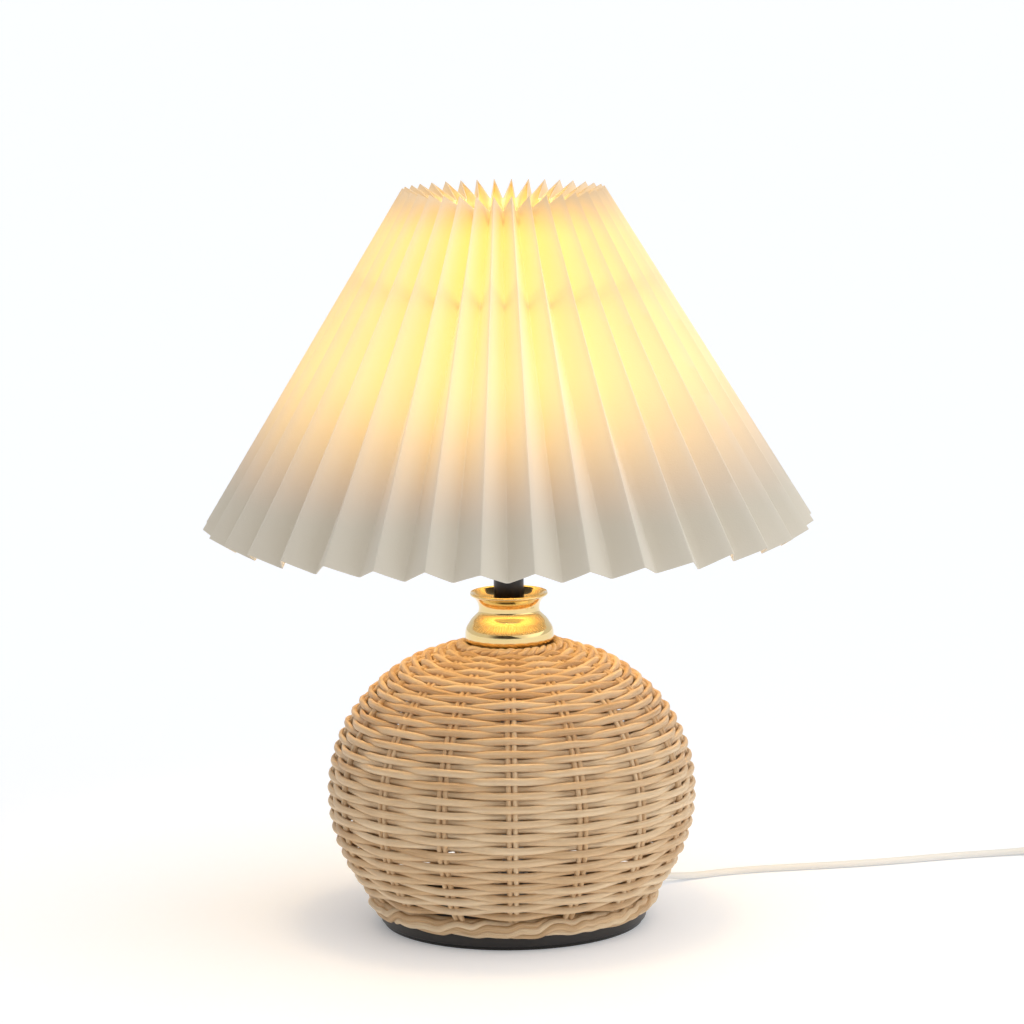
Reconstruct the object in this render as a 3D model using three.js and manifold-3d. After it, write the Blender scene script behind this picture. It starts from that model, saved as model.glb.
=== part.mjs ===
// Table lamp: a pleated cone shade on an E27 holder, a spun brass neck, a woven rattan ball
// on a weighted disc, and a flat mains lead with a rocker switch and a plug.
// Millimetres, +Z up, the front is -Y. Origin: centre of the underside of the base pad.
import * as THREE from "three";
import { mergeVertices } from "three/addons/utils/BufferGeometryUtils.js";
import Module from "manifold-3d";

// ---------- driving dimensions ----------
const FIT = 0.3; // gap between pieces that touch
const WELD = 1e-3; // vertices closer than this are one

const PAD_THICKNESS = 1.5;
const PAD_INSET = 1.5;
const BASE_RADIUS = 61.5;
const BASE_THICKNESS = 6.5;
const BASE_EDGE = 0.8; // chamfer
const LEAD_WAY_RADIUS = 9; // hole in the middle of the base, where the lead turns up

const FLANGE_RADIUS = 22;
const FLANGE_THICKNESS = 2.5;
const FLANGE_BOSS_WALL = 3.7;
const FLANGE_BOSS_HEIGHT = 6.5;
const FLANGE_SCREW_CIRCLE = 16;
const FLANGE_SCREWS = 3;
const SCREW_RADIUS = 1.5;
const SCREW_HEAD_RADIUS = 3;
const SCREW_HEAD_HEIGHT = 1.6;
const SCREW_DEPTH = 4.5;

const TUBE_RADIUS = 5; // M10 x 1 threaded tube
const TUBE_WALL = 1;
const NUT_WALL = 1.7; // at the middle of its flats
const NUT_HEIGHT = 3.6;
const WASHER_WIDTH = 3.7;
const WASHER_THICKNESS = 1.2;

const BALL_RADIUS = 85;
const BALL_HALF_HEIGHT = 70.8;
const BALL_POWER = 2.4; // 2 would be an ellipsoid; more is squarer
const WALL = 3.2; // woven wall
const BORDER_RADIUS = 3.9; // section of the rolled border at the foot
const STAKE_PAIRS = 16;
const STAKE_PAIR_WIDTH = 5;
const STAKE_THICKNESS = 2.4;
const STAKE_GAP = 1.4; // from the woven wall's facets
const HOOP_WIDTH = 5;
const HOOP_HEIGHT = 4;

const TOP_DISC_RADIUS = 16.7;
const TOP_DISC_THICKNESS = 6;

const NECK_FOOT_RADIUS = 19.5;
const NECK_BULGE_RADIUS = 20.4;
const NECK_WAIST_RADIUS = 14;
const NECK_LIP_RADIUS = 17.9;
const NECK_HEIGHT = 22.8;
const NECK_WALL = 0.9;
const NECK_FLOOR = 10.6; // height of the cup's floor over the foot

const HOLDER_STEM_WALL = 1.6;
const HOLDER_STEM_LENGTH = 16.8;
const HOLDER_WALL = 1.8;
const HOLDER_BASE_HEIGHT = 36.3;
const SLEEVE_SPIGOT = 4.3;
const SLEEVE_WALL = 3.3;
const SLEEVE_HEIGHT = 25;
const SEAT_WIDTH = 3.8; // collar that the shade sits on
const SEAT_THICKNESS = 2;
const SEAT_HEIGHT = 8.7; // underside of the collar over the joint of base and sleeve

const FITTER_MARGIN = 4.4; // seen outside the ring nut
const FITTER_CLEARANCE = 0.5;
const FITTER_THICKNESS = 2;
const RING_NUT_WALL = 4.1;
const RING_NUT_HEIGHT = 7;
const RING_NUT_RIBS = 16;
const RING_NUT_RIB_DEPTH = 0.7;

const INSERT_WALL = 1;
const INSERT_FLOOR = 3;
const INSERT_HEIGHT = 18.5;
const SHELL_WALL = 0.5; // holder's screw shell
const SHELL_CLEARANCE = 0.6; // round the cap
const SHELL_HEIGHT = 26;
const CONTACT_WIDTH = 6;
const CONTACT_THICKNESS = 0.7;
const CONTACT_RISE = 1.4;

const CAP_RADIUS = 13.2; // E27 cap
const CAP_HEIGHT = 27; // tip to collar
const CAP_WALL = 0.5;
const CAP_TIP_HEIGHT = 0.9;
const CAP_TIP_RADIUS = 4.6;
const CAP_SHELL_BOTTOM = 4.6; // lower edge of the metal shell over the tip
const BULB_HEIGHT = 108;
const BULB_RADIUS = 30;
const BULB_BODY_HEIGHT = 33; // collar to rim
const BULB_WALL = 1.2;
const BULB_TAIL = 9; // body inside the cap

const SHADE_TOP_RADIUS = 46.5; // at the outer folds
const SHADE_HEM_RADIUS = 140;
const SHADE_HEIGHT = 153;
const SHADE_HEM_OVER_SEAT = -5; // hem of the outer folds over the shade's seat
const PLEATS = 36;
const PLEAT_DEPTH_HEM = 11;
const CLOTH = 0.4;
const CLOTH_LEVELS = 5;
const WIRE_RADIUS = 1.5;
const TOP_RING_DROP = 17; // below the top of the outer folds
const LOWER_RING_DROP = 50;
const ARMS = 3;

const CORD_WIDTH = 5; // flat two-core lead
const CORD_THICKNESS = 2.9;
const CORD_SIDES = 8;
const EXIT_ANGLE = 40; // degrees, from +X towards +Y
const EXIT_HEIGHT = 4.6;
const RELIEF_LENGTH = 22; // outside the base
const RELIEF_ROOT = 4; // inside the base
const RELIEF_ROOT_WIDTH = 9;
const RELIEF_TIP_WIDTH = 6.4;
const RELIEF_ROOT_THICKNESS = 4.4;
const RELIEF_TIP_THICKNESS = 3.9;
const LEAD_BEND = 7; // bend of the inner lead from the base up into the tube

const SWITCH_LENGTH = 60;
const SWITCH_WIDTH = 18;
const SWITCH_HEIGHT = 14;
const SWITCH_SPLIT = 7;
const SWITCH_WALL = 1.8;
const SWITCH_END = 12; // solid at each end
const SWITCH_CORNER = 7;
const SWITCH_INLET = 4.2; // height of the lead's hole
const ROCKER_LENGTH = 21;
const ROCKER_WIDTH = 10;
const ROCKER_PROUD = 1.8;
const ROCKER_DEPTH = 2.4; // below its pivot
const ROCKER_TILT = 8; // degrees, each way from level
const ROCKER_PIN_RADIUS = 1.2;

const PLUG_WIDTH = 35;
const PLUG_NOSE_WIDTH = 11;
const PLUG_LENGTH = 36;
const PLUG_FACE_LENGTH = 14; // full-width stretch behind the pin face
const PLUG_THICKNESS = 13.4;
const PIN_SPACING = 18.6;
const PIN_RADIUS = 2;
const PIN_LENGTH = 19;
const PIN_SLEEVE_LENGTH = 10;
const PIN_SHAFT_RADIUS = 1.2;

const COIL_CENTRE = [300, 50];
const COIL_MIDDLE_RADIUS = 30;
const COIL_HALF_WIDTH = 10.4; // across its turns
const COIL_HEIGHT = 6.4;
const TIE_THICKNESS = 0.5;
const TIE_WIDTH = 6;
const TIE_ANGLE = 200; // degrees round the coil

// The lead's stretches that are not coiled, in millimetres, as points of a smooth curve.
const CORD_TO_SWITCH = [
  [64.3, 53.9, 4.6], [68.2, 57.1, 4.5], [74.2, 61.6, 3.6], [81.5, 66.4, 2.3], [90, 71, 1.6],
  [100, 75.4, 1.5], [112, 79.3, 1.5], [126, 82.4, 1.5], [141, 84.8, 1.5], [156, 87.2, 1.5],
  [171, 90.2, 1.5], [187, 94.2, 1.5], [203, 98.8, 1.5], [219, 103, 1.5], [235, 106.3, 1.5],
  [248, 108.2, 1.9], [259, 108.9, 3.2], [268, 109, 4.2],
];
const SWITCH_PLACE = [298.3, 109];
const CORD_TO_COIL = [
  [328.6, 109, 4.2], [333.5, 109, 4.2], [342, 108, 3.2], [350.4, 104, 2.7], [356.6, 97, 2.6],
  [358.9, 88, 2.6], [357, 79, 2.6], [352.4, 70.4, 2.6], [347, 62.2, 2.6], [343.5, 53, 2.6],
];
const CORD_TO_PLUG = [
  [297, 6.4, 5.2], [292.5, 6.2, 5.2], [285, 4.2, 3.8], [277.4, -0.6, 2.3], [272, -8, 1.8],
  [269, -17, 2.1], [268, -26, 3.8], [268, -35, 6.1], [268, -42.9, 6.7],
];
const PLUG_PLACE = [268, -43.3];

const ROUND = 16; // facets of a small turned piece
const LARGE_ROUND = 32; // facets of the base, ball and neck

// ---------- heights of the stack on the axis, worked out from the sizes ----------
const baseBottom = PAD_THICKNESS + FIT;
const baseTop = baseBottom + BASE_THICKNESS;
const flangeBottom = baseTop + FIT;
const flangeTop = flangeBottom + FLANGE_THICKNESS;
const bossTop = flangeTop + FLANGE_BOSS_HEIGHT;
const tubeHole = TUBE_RADIUS + FIT;
const tubeBore = TUBE_RADIUS - TUBE_WALL;
const bossRadius = tubeHole + FLANGE_BOSS_WALL;
const washerRadius = tubeHole + WASHER_WIDTH;
const nutFlats = 2 * (tubeHole + NUT_WALL);

// radii round the bulb's cap, from the cap outwards
const stemRadius = tubeHole + HOLDER_STEM_WALL;
const shellBore = CAP_RADIUS + SHELL_CLEARANCE;
const sleeveBore = shellBore + SHELL_WALL + FIT + INSERT_WALL + FIT;
const threadRadius = sleeveBore + SLEEVE_WALL;
const holderRadius = threadRadius - FIT;
const seatRadius = threadRadius + SEAT_WIDTH;
const fitterBore = threadRadius + FITTER_CLEARANCE;
const ringNutRadius = threadRadius + FIT + RING_NUT_WALL;
const fitterRadius = ringNutRadius + FITTER_MARGIN;

const ballFoot = baseTop + FIT;
const ballCut = Math.acos(Math.pow(BASE_RADIUS / BALL_RADIUS, BALL_POWER / 2));
const ballCentre = ballFoot + BALL_HALF_HEIGHT * Math.sin(ballCut);
const wallHole = TOP_DISC_RADIUS + FIT;

const neckFoot = ballHeight(NECK_FOOT_RADIUS - NECK_WALL) + FIT;
const topDiscTop = neckFoot - FIT - FIT;
const topDiscBottom = topDiscTop - TOP_DISC_THICKNESS;
const neckFloorTop = neckFoot + NECK_FLOOR + NECK_WALL;

const holderBottom = neckFloorTop + FIT + WASHER_THICKNESS + FIT;
const stemTop = holderBottom + HOLDER_STEM_LENGTH;
const tubeTop = stemTop - HOLDER_WALL - FIT - FIT;
const holderJoint = holderBottom + HOLDER_BASE_HEIGHT;
const sleeveTop = holderJoint + FIT + SLEEVE_HEIGHT;
const seatTop = holderJoint + FIT + SEAT_HEIGHT + SEAT_THICKNESS;
const insertBottom = stemTop + 7;
const insertFloor = insertBottom + INSERT_FLOOR;
const contactTop = insertFloor + FIT + CONTACT_THICKNESS + CONTACT_RISE;
const bulbTip = contactTop + FIT;

const rockerPivot = SWITCH_HEIGHT - SWITCH_WALL - ROCKER_PIN_RADIUS - FIT;
const hemHeight = seatTop + SHADE_HEM_OVER_SEAT;
const shadeTop = hemHeight + SHADE_HEIGHT;

// ---------- finishes ----------
function finish(color, roughness, metalness = 0) {
  return new THREE.MeshStandardMaterial({ color, roughness, metalness });
}
const rattan = finish(0xcf9f6c, 0.6);
const wood = finish(0xc9a87c, 0.7);
const paintedSteel = finish(0x1d1a19, 0.5, 0.2);
const felt = finish(0x26221f, 0.95);
const steel = finish(0xb9bbbd, 0.35, 0.9);
const brass = finish(0xd9a13c, 0.15, 1);
const blackPlastic = finish(0x17140f, 0.4);
const ceramic = finish(0xe9e6dd, 0.5);
const copper = finish(0xc08a50, 0.3, 1);
const opal = finish(0xfff3da, 0.4);
const whitePlastic = finish(0xf1efe8, 0.35);
const cloth = finish(0xf4e4c2, 0.85);
const whiteWire = finish(0xe9e6de, 0.4, 0.3);
const pvc = finish(0xf3f1ec, 0.45);
const nickel = finish(0xcfcac0, 0.25, 0.95);

// ---------- shared shapes ----------
const wasm = await Module();
wasm.setup();

function solidOf(geometry) {
  const positions = new THREE.BufferGeometry();
  const plain = geometry.index ? geometry.toNonIndexed() : geometry;
  positions.setAttribute("position", plain.getAttribute("position").clone());
  const merged = mergeVertices(positions, WELD);
  return new wasm.Manifold(
    new wasm.Mesh({
      numProp: 3,
      vertProperties: merged.attributes.position.array,
      triVerts: new Uint32Array(merged.index.array),
    }),
  );
}

function geometryOf(solid) {
  const mesh = solid.getMesh();
  const geometry = new THREE.BufferGeometry();
  geometry.setAttribute("position", new THREE.BufferAttribute(mesh.vertProperties, mesh.numProp));
  geometry.setIndex(new THREE.BufferAttribute(mesh.triVerts, 1));
  geometry.computeVertexNormals();
  return geometry;
}

function join(...geometries) {
  return geometryOf(geometries.map(solidOf).reduce((all, next) => all.add(next)));
}

function cut(geometry, ...tools) {
  return geometryOf(tools.map(solidOf).reduce((left, tool) => left.subtract(tool), solidOf(geometry)));
}

// A turned piece: its half section as [radius, height] points, run up the outside and down the inside.
function turned(points, facets = ROUND) {
  const profile = points.map(([radius, height]) => new THREE.Vector2(radius, height));
  if (points[0][0] > 0) profile.push(profile[0].clone());
  return new THREE.LatheGeometry(profile, facets).rotateX(Math.PI / 2);
}

function ring(inner, outer, bottom, top, facets = ROUND) {
  return turned([[inner, bottom], [outer, bottom], [outer, top], [inner, top]], facets);
}

function rod(radius, bottom, top, facets = ROUND) {
  return turned([[0, bottom], [radius, bottom], [radius, top], [0, top]], facets);
}

function block(x, y, z) {
  return new THREE.BoxGeometry(x, y, z);
}

function radians(degrees) {
  return THREE.MathUtils.degToRad(degrees);
}

function outline(points) {
  return new THREE.Shape(points.map(([x, y]) => new THREE.Vector2(x, y)));
}

function plate(shape, thickness) {
  return new THREE.ExtrudeGeometry(shape, { depth: thickness, bevelEnabled: false });
}

function roundedOutline(length, width, corner) {
  const x = length / 2;
  const y = width / 2;
  const shape = new THREE.Shape();
  const turns = [[x, -y, -90], [x, y, 0], [-x, y, 90], [-x, -y, 180]];
  turns.forEach(([cx, cy, start]) => {
    const sx = cx - Math.sign(cx) * corner;
    const sy = cy - Math.sign(cy) * corner;
    shape.absarc(sx, sy, corner, radians(start), radians(start + 90), false);
  });
  return shape;
}

function ellipseSection(alongNormal, alongBinormal, sides) {
  const points = [];
  for (let i = 0; i < sides; i++) {
    const angle = (2 * Math.PI * (i + 0.5)) / sides;
    points.push([(alongNormal / 2) * Math.cos(angle), (alongBinormal / 2) * Math.sin(angle)]);
  }
  return outline(points);
}

function swept(section, points, steps) {
  const vectors = points.map((p) => new THREE.Vector3(...p));
  const path = new THREE.CatmullRomCurve3(vectors, false, "centripetal");
  return new THREE.ExtrudeGeometry(section, { steps, bevelEnabled: false, extrudePath: path });
}

function hexNut(bottom) {
  const corner = nutFlats / 2 / Math.cos(Math.PI / 6);
  return cut(
    new THREE.CylinderGeometry(corner, corner, NUT_HEIGHT, 6)
      .rotateX(Math.PI / 2)
      .translate(0, 0, bottom + NUT_HEIGHT / 2),
    rod(tubeHole, bottom - 1, bottom + NUT_HEIGHT + 1),
  );
}

function piece(group, name, geometry, material) {
  const mesh = new THREE.Mesh(geometry, material);
  mesh.name = name;
  group.add(mesh);
  return mesh;
}

function assembly(parent, place = [0, 0, 0], turn = 0) {
  const group = new THREE.Group();
  group.position.set(...place);
  group.rotation.z = radians(turn);
  parent.add(group);
  return group;
}

// ---------- the ball's outline ----------
// Height of the ball's outer surface at a radius, on its upper half.
function ballHeight(radius) {
  return ballCentre + BALL_HALF_HEIGHT * Math.sqrt(1 - Math.pow(radius / BALL_RADIUS, BALL_POWER));
}

// A point [radius, height] on the ball at a latitude, set in from the surface.
function ballPoint(latitude, inset) {
  const radius = BALL_RADIUS * Math.pow(Math.cos(latitude), 2 / BALL_POWER);
  const height = BALL_HALF_HEIGHT * Math.sin(latitude);
  const slope = (2 / BALL_POWER) * (radius / Math.cos(latitude)) * Math.sin(latitude);
  const normal = new THREE.Vector2(BALL_HALF_HEIGHT * Math.cos(latitude), slope).normalize();
  return [radius - inset * normal.x, ballCentre + height - inset * normal.y];
}

function latitudeAtRadius(radius) {
  return Math.acos(Math.pow(radius / BALL_RADIUS, BALL_POWER / 2));
}

function latitudeAtHeight(height) {
  return Math.asin((height - ballCentre) / BALL_HALF_HEIGHT);
}

function meridian(from, to, steps, inset) {
  const points = [];
  for (let i = 0; i <= steps; i++) points.push(ballPoint(from + ((to - from) * i) / steps, inset));
  return points;
}

// ---------- base ----------
function addBase(lamp) {
  const base = assembly(lamp);
  piece(base, "base_pad", rod(BASE_RADIUS - PAD_INSET, 0, PAD_THICKNESS, LARGE_ROUND), felt);

  const disc = turned(
    [
      [LEAD_WAY_RADIUS, baseBottom], [BASE_RADIUS, baseBottom], [BASE_RADIUS, baseTop - BASE_EDGE],
      [BASE_RADIUS - BASE_EDGE, baseTop], [LEAD_WAY_RADIUS, baseTop],
    ],
    LARGE_ROUND,
  );
  const grooveTop = EXIT_HEIGHT + CORD_THICKNESS / 2 + FIT;
  const grooveWidth = CORD_WIDTH + 2 * FIT + FIT;
  const groove = block(BASE_RADIUS, grooveWidth, grooveTop)
    .translate(BASE_RADIUS / 2 + LEAD_WAY_RADIUS / 2, 0, grooveTop / 2)
    .rotateZ(radians(EXIT_ANGLE));
  const pocketTop = EXIT_HEIGHT + RELIEF_ROOT_THICKNESS / 2 + FIT;
  const pocket = block(2 * (RELIEF_ROOT + FIT), RELIEF_ROOT_WIDTH + 2 * FIT, pocketTop)
    .translate(BASE_RADIUS, 0, pocketTop / 2)
    .rotateZ(radians(EXIT_ANGLE));
  const holes = screwPlaces().map(([x, y]) =>
    rod(SCREW_RADIUS + FIT, baseTop - SCREW_DEPTH - FIT, baseTop + 1).translate(x, y, 0),
  );
  piece(base, "base_plate", cut(disc, groove, pocket, ...holes), paintedSteel);

  const flange = turned([
    [tubeHole, flangeBottom], [FLANGE_RADIUS, flangeBottom], [FLANGE_RADIUS, flangeTop],
    [bossRadius, flangeTop], [bossRadius, bossTop], [tubeHole, bossTop],
  ]);
  const clearances = screwPlaces().map(([x, y]) =>
    rod(SCREW_RADIUS + FIT, flangeBottom - 1, flangeTop + 1).translate(x, y, 0),
  );
  piece(base, "base_flange", cut(flange, ...clearances), steel);
  screwPlaces().forEach(([x, y], i) => {
    const screw = piece(base, "flange_screw_" + (i + 1), flangeScrew(), steel);
    screw.position.set(x, y, 0);
  });
  piece(base, "base_lock_nut", hexNut(bossTop + FIT), steel);
  const tubeBottom = flangeBottom;
  piece(base, "threaded_tube", ring(tubeBore, TUBE_RADIUS, tubeBottom, tubeTop), steel);
}

function screwPlaces() {
  const places = [];
  for (let i = 0; i < FLANGE_SCREWS; i++) {
    const angle = radians(EXIT_ANGLE + 60 + (360 * i) / FLANGE_SCREWS);
    places.push([FLANGE_SCREW_CIRCLE * Math.cos(angle), FLANGE_SCREW_CIRCLE * Math.sin(angle)]);
  }
  return places;
}

function flangeScrew() {
  const headBottom = flangeTop + FIT;
  const headTop = headBottom + SCREW_HEAD_HEIGHT;
  return turned([
    [0, baseTop - SCREW_DEPTH], [SCREW_RADIUS, baseTop - SCREW_DEPTH], [SCREW_RADIUS, headBottom],
    [SCREW_HEAD_RADIUS, headBottom], [SCREW_HEAD_RADIUS * 0.8, headTop], [0, headTop],
  ], 12);
}

// ---------- woven ball ----------
function addBall(lamp) {
  const ball = assembly(lamp);
  const borderHeight = ballFoot + BORDER_RADIUS;
  const borderTop = ballFoot + 2 * BORDER_RADIUS;
  const [wallRadius] = ballPoint(latitudeAtHeight(borderHeight), 0);
  const border = [];
  const borderSides = 8;
  for (let i = 0; i < borderSides; i++) {
    const angle = (2 * Math.PI * (i + 0.5)) / borderSides;
    border.push([
      wallRadius - BORDER_RADIUS + BORDER_RADIUS * Math.cos(angle),
      borderHeight + BORDER_RADIUS * Math.sin(angle),
    ]);
  }
  piece(ball, "bottom_border", turned(border, LARGE_ROUND), rattan);

  const low = latitudeAtHeight(borderTop + FIT + FIT);
  const high = latitudeAtRadius(wallHole);
  const steps = 9;
  const inside = meridian(low, high, steps, WALL);
  inside[0][1] = ballPoint(low, 0)[1];
  inside[steps][0] = wallHole;
  const wall = [...meridian(low, high, steps, 0), ...inside.reverse()];
  piece(ball, "woven_wall", turned(wall, LARGE_ROUND), rattan);
  piece(ball, "stake_cage", stakeCage(), rattan);

  piece(ball, "top_disc", ring(tubeHole, TOP_DISC_RADIUS, topDiscBottom, topDiscTop), wood);
  piece(ball, "top_disc_lower_nut", hexNut(topDiscBottom - FIT - NUT_HEIGHT), steel);
  const washerBottom = topDiscTop + FIT;
  const washerTop = washerBottom + WASHER_THICKNESS;
  piece(ball, "top_disc_washer", ring(tubeHole, washerRadius, washerBottom, washerTop), steel);
  piece(ball, "top_disc_nut", hexNut(washerTop + FIT), steel);
}

// The upright stakes inside the weave, in pairs, held by a hoop at the foot and one round the top disc.
function stakeCage() {
  const outerInset = WALL + STAKE_GAP;
  const innerInset = outerInset + STAKE_THICKNESS;
  const hoopTop = ballFoot + HOOP_HEIGHT;
  const borderMiddle = ballPoint(latitudeAtHeight(ballFoot + BORDER_RADIUS), 0)[0] - BORDER_RADIUS;
  const hoopOuter = borderMiddle - BORDER_RADIUS - FIT;
  const borderTop = ballFoot + 2 * BORDER_RADIUS;
  const foot = latitudeAtHeight(borderTop + 2 * BORDER_RADIUS);
  const head = latitudeAtRadius(wallHole + 2 * STAKE_THICKNESS);
  const stakeSteps = 9;
  const outside = meridian(foot, head, stakeSteps, outerInset);
  const inside = meridian(foot, head, stakeSteps, innerInset);
  const footInner = hoopOuter - STAKE_THICKNESS;
  const side = outline([
    [footInner, ballFoot + FIT], [hoopOuter, ballFoot + FIT], [hoopOuter, borderTop],
    ...outside, ...inside.reverse(), [footInner, borderTop],
  ]);
  const hoop = ring(hoopOuter - HOOP_WIDTH, hoopOuter - FIT, ballFoot, hoopTop, LARGE_ROUND);
  const [topRadius, topHeight] = inside[0];
  const topHoop = ring(
    topRadius, topRadius + STAKE_THICKNESS, topHeight - STAKE_THICKNESS, topHeight + STAKE_THICKNESS / 4,
    LARGE_ROUND,
  );
  const stakes = [];
  for (let i = 0; i < STAKE_PAIRS; i++) {
    const stake = plate(side, STAKE_PAIR_WIDTH).rotateX(Math.PI / 2);
    stake.translate(0, STAKE_PAIR_WIDTH / 2, 0);
    stakes.push(stake.rotateZ((2 * Math.PI * i) / STAKE_PAIRS));
  }
  return join(hoop, topHoop, ...stakes);
}

// ---------- brass neck ----------
function addNeck(lamp) {
  const neck = assembly(lamp, [0, 0, neckFoot]);
  const bulge = NECK_BULGE_RADIUS;
  const waist = NECK_WAIST_RADIUS;
  const lip = NECK_LIP_RADIUS;
  const t = NECK_WALL;
  const top = NECK_HEIGHT;
  const floor = NECK_FLOOR;
  const shoulder = (bulge + waist) / 2;
  const outside = [
    [NECK_FOOT_RADIUS, 0], [bulge, 2], [bulge, 5], [bulge - 1.4, 8], [shoulder, floor],
    [waist + 0.3, floor + 3], [waist, floor + 5.4], [waist + 1, top - 3.6], [lip - 0.8, top - 1.6],
    [lip, top - 0.8], [lip - 0.4, top],
  ];
  const cup = [
    [lip - 1.4, top - 0.4], [waist + 1 - t, top - 3], [waist - t, floor + 5.4],
    [waist + 0.2 - t, floor + t], [tubeHole, floor + t],
  ];
  const underside = [
    [tubeHole, floor], [waist + 0.2 - t, floor], [shoulder - 1.4 * t, floor - 0.6],
    [bulge - 1.4 - t, 7.6], [bulge - t, 5], [bulge - t, 2], [NECK_FOOT_RADIUS - t, 0],
  ];
  piece(neck, "brass_neck", turned([...outside, ...cup, ...underside], LARGE_ROUND), brass);
  const washerBottom = floor + t + FIT;
  const washer = ring(tubeHole, washerRadius, washerBottom, washerBottom + WASHER_THICKNESS);
  piece(neck, "neck_washer", washer, steel);
}

// ---------- lamp holder ----------
function addHolder(lamp) {
  const holder = assembly(lamp);
  const r = holderRadius;
  const stem = stemRadius;
  const insertRadius = sleeveBore - FIT;
  const coneTop = stemTop + 5;
  const shell = [
    [tubeHole, holderBottom], [stem, holderBottom], [stem, stemTop], [r - 1.5, coneTop],
    [r, coneTop + 2.5], [r, holderJoint], [r - HOLDER_WALL, holderJoint],
    [r - HOLDER_WALL, coneTop + 3.3], [r - 3.2, coneTop + 1.2], [tubeBore, stemTop + 0.6],
    [tubeBore, stemTop - HOLDER_WALL], [tubeHole, stemTop - HOLDER_WALL],
  ];
  piece(holder, "holder_base", turned(shell), blackPlastic);

  const wallInner = insertRadius - INSERT_WALL;
  const cup = [
    [0, insertBottom], [insertRadius, insertBottom], [insertRadius, insertBottom + INSERT_HEIGHT],
    [wallInner, insertBottom + INSERT_HEIGHT], [wallInner, insertFloor], [0, insertFloor],
  ];
  piece(holder, "holder_insert", turned(cup), ceramic);

  const shellOuter = wallInner - FIT;
  const shellBottom = insertFloor + FIT;
  piece(
    holder, "screw_shell",
    ring(shellOuter - SHELL_WALL, shellOuter, shellBottom, shellBottom + SHELL_HEIGHT), copper,
  );
  piece(holder, "centre_contact", centreContact(shellOuter - SHELL_WALL), copper);

  const sleeveBottom = holderJoint + FIT;
  const spigot = r - HOLDER_WALL - FIT;
  const seatBottom = sleeveBottom + SEAT_HEIGHT;
  const sleeve = [
    [sleeveBore, holderJoint - SLEEVE_SPIGOT], [spigot, holderJoint - SLEEVE_SPIGOT],
    [spigot, sleeveBottom], [r, sleeveBottom], [r, seatBottom], [seatRadius, seatBottom],
    [seatRadius, seatTop], [threadRadius, seatTop], [threadRadius, sleeveTop],
    [sleeveBore, sleeveTop],
  ];
  piece(holder, "holder_sleeve", turned(sleeve), blackPlastic);

  const nut = piece(holder, "shade_ring_nut", ringNut(), blackPlastic);
  nut.position.z = seatTop + FIT + FITTER_THICKNESS + FIT;
}

// A bent spring strip: flat on the insert's floor at one side, raised under the bulb's tip.
function centreContact(roomRadius) {
  const t = CONTACT_THICKNESS;
  const far = roomRadius - CONTACT_WIDTH / 2;
  const top = t + CONTACT_RISE;
  const side = outline([
    [-far, 0], [-far / 2, 0], [-2, CONTACT_RISE], [3, CONTACT_RISE], [3, top], [-2.4, top],
    [-far / 2 - 0.4, t], [-far, t],
  ]);
  return plate(side, CONTACT_WIDTH)
    .rotateX(Math.PI / 2)
    .translate(0, CONTACT_WIDTH / 2, insertFloor + FIT);
}

function ringNut() {
  const points = [];
  for (let i = 0; i < RING_NUT_RIBS; i++) {
    const step = (2 * Math.PI) / RING_NUT_RIBS;
    [[0, 0], [0.5, 0], [0.62, 1], [0.88, 1]].forEach(([share, deep]) => {
      const radius = ringNutRadius - deep * RING_NUT_RIB_DEPTH;
      points.push([radius * Math.cos((i + share) * step), radius * Math.sin((i + share) * step)]);
    });
  }
  const shape = outline(points);
  const bore = new THREE.Path();
  bore.absarc(0, 0, threadRadius + FIT, 0, 2 * Math.PI, true);
  shape.holes.push(bore);
  return new THREE.ExtrudeGeometry(shape, {
    depth: RING_NUT_HEIGHT, bevelEnabled: false, curveSegments: ROUND,
  });
}

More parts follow.
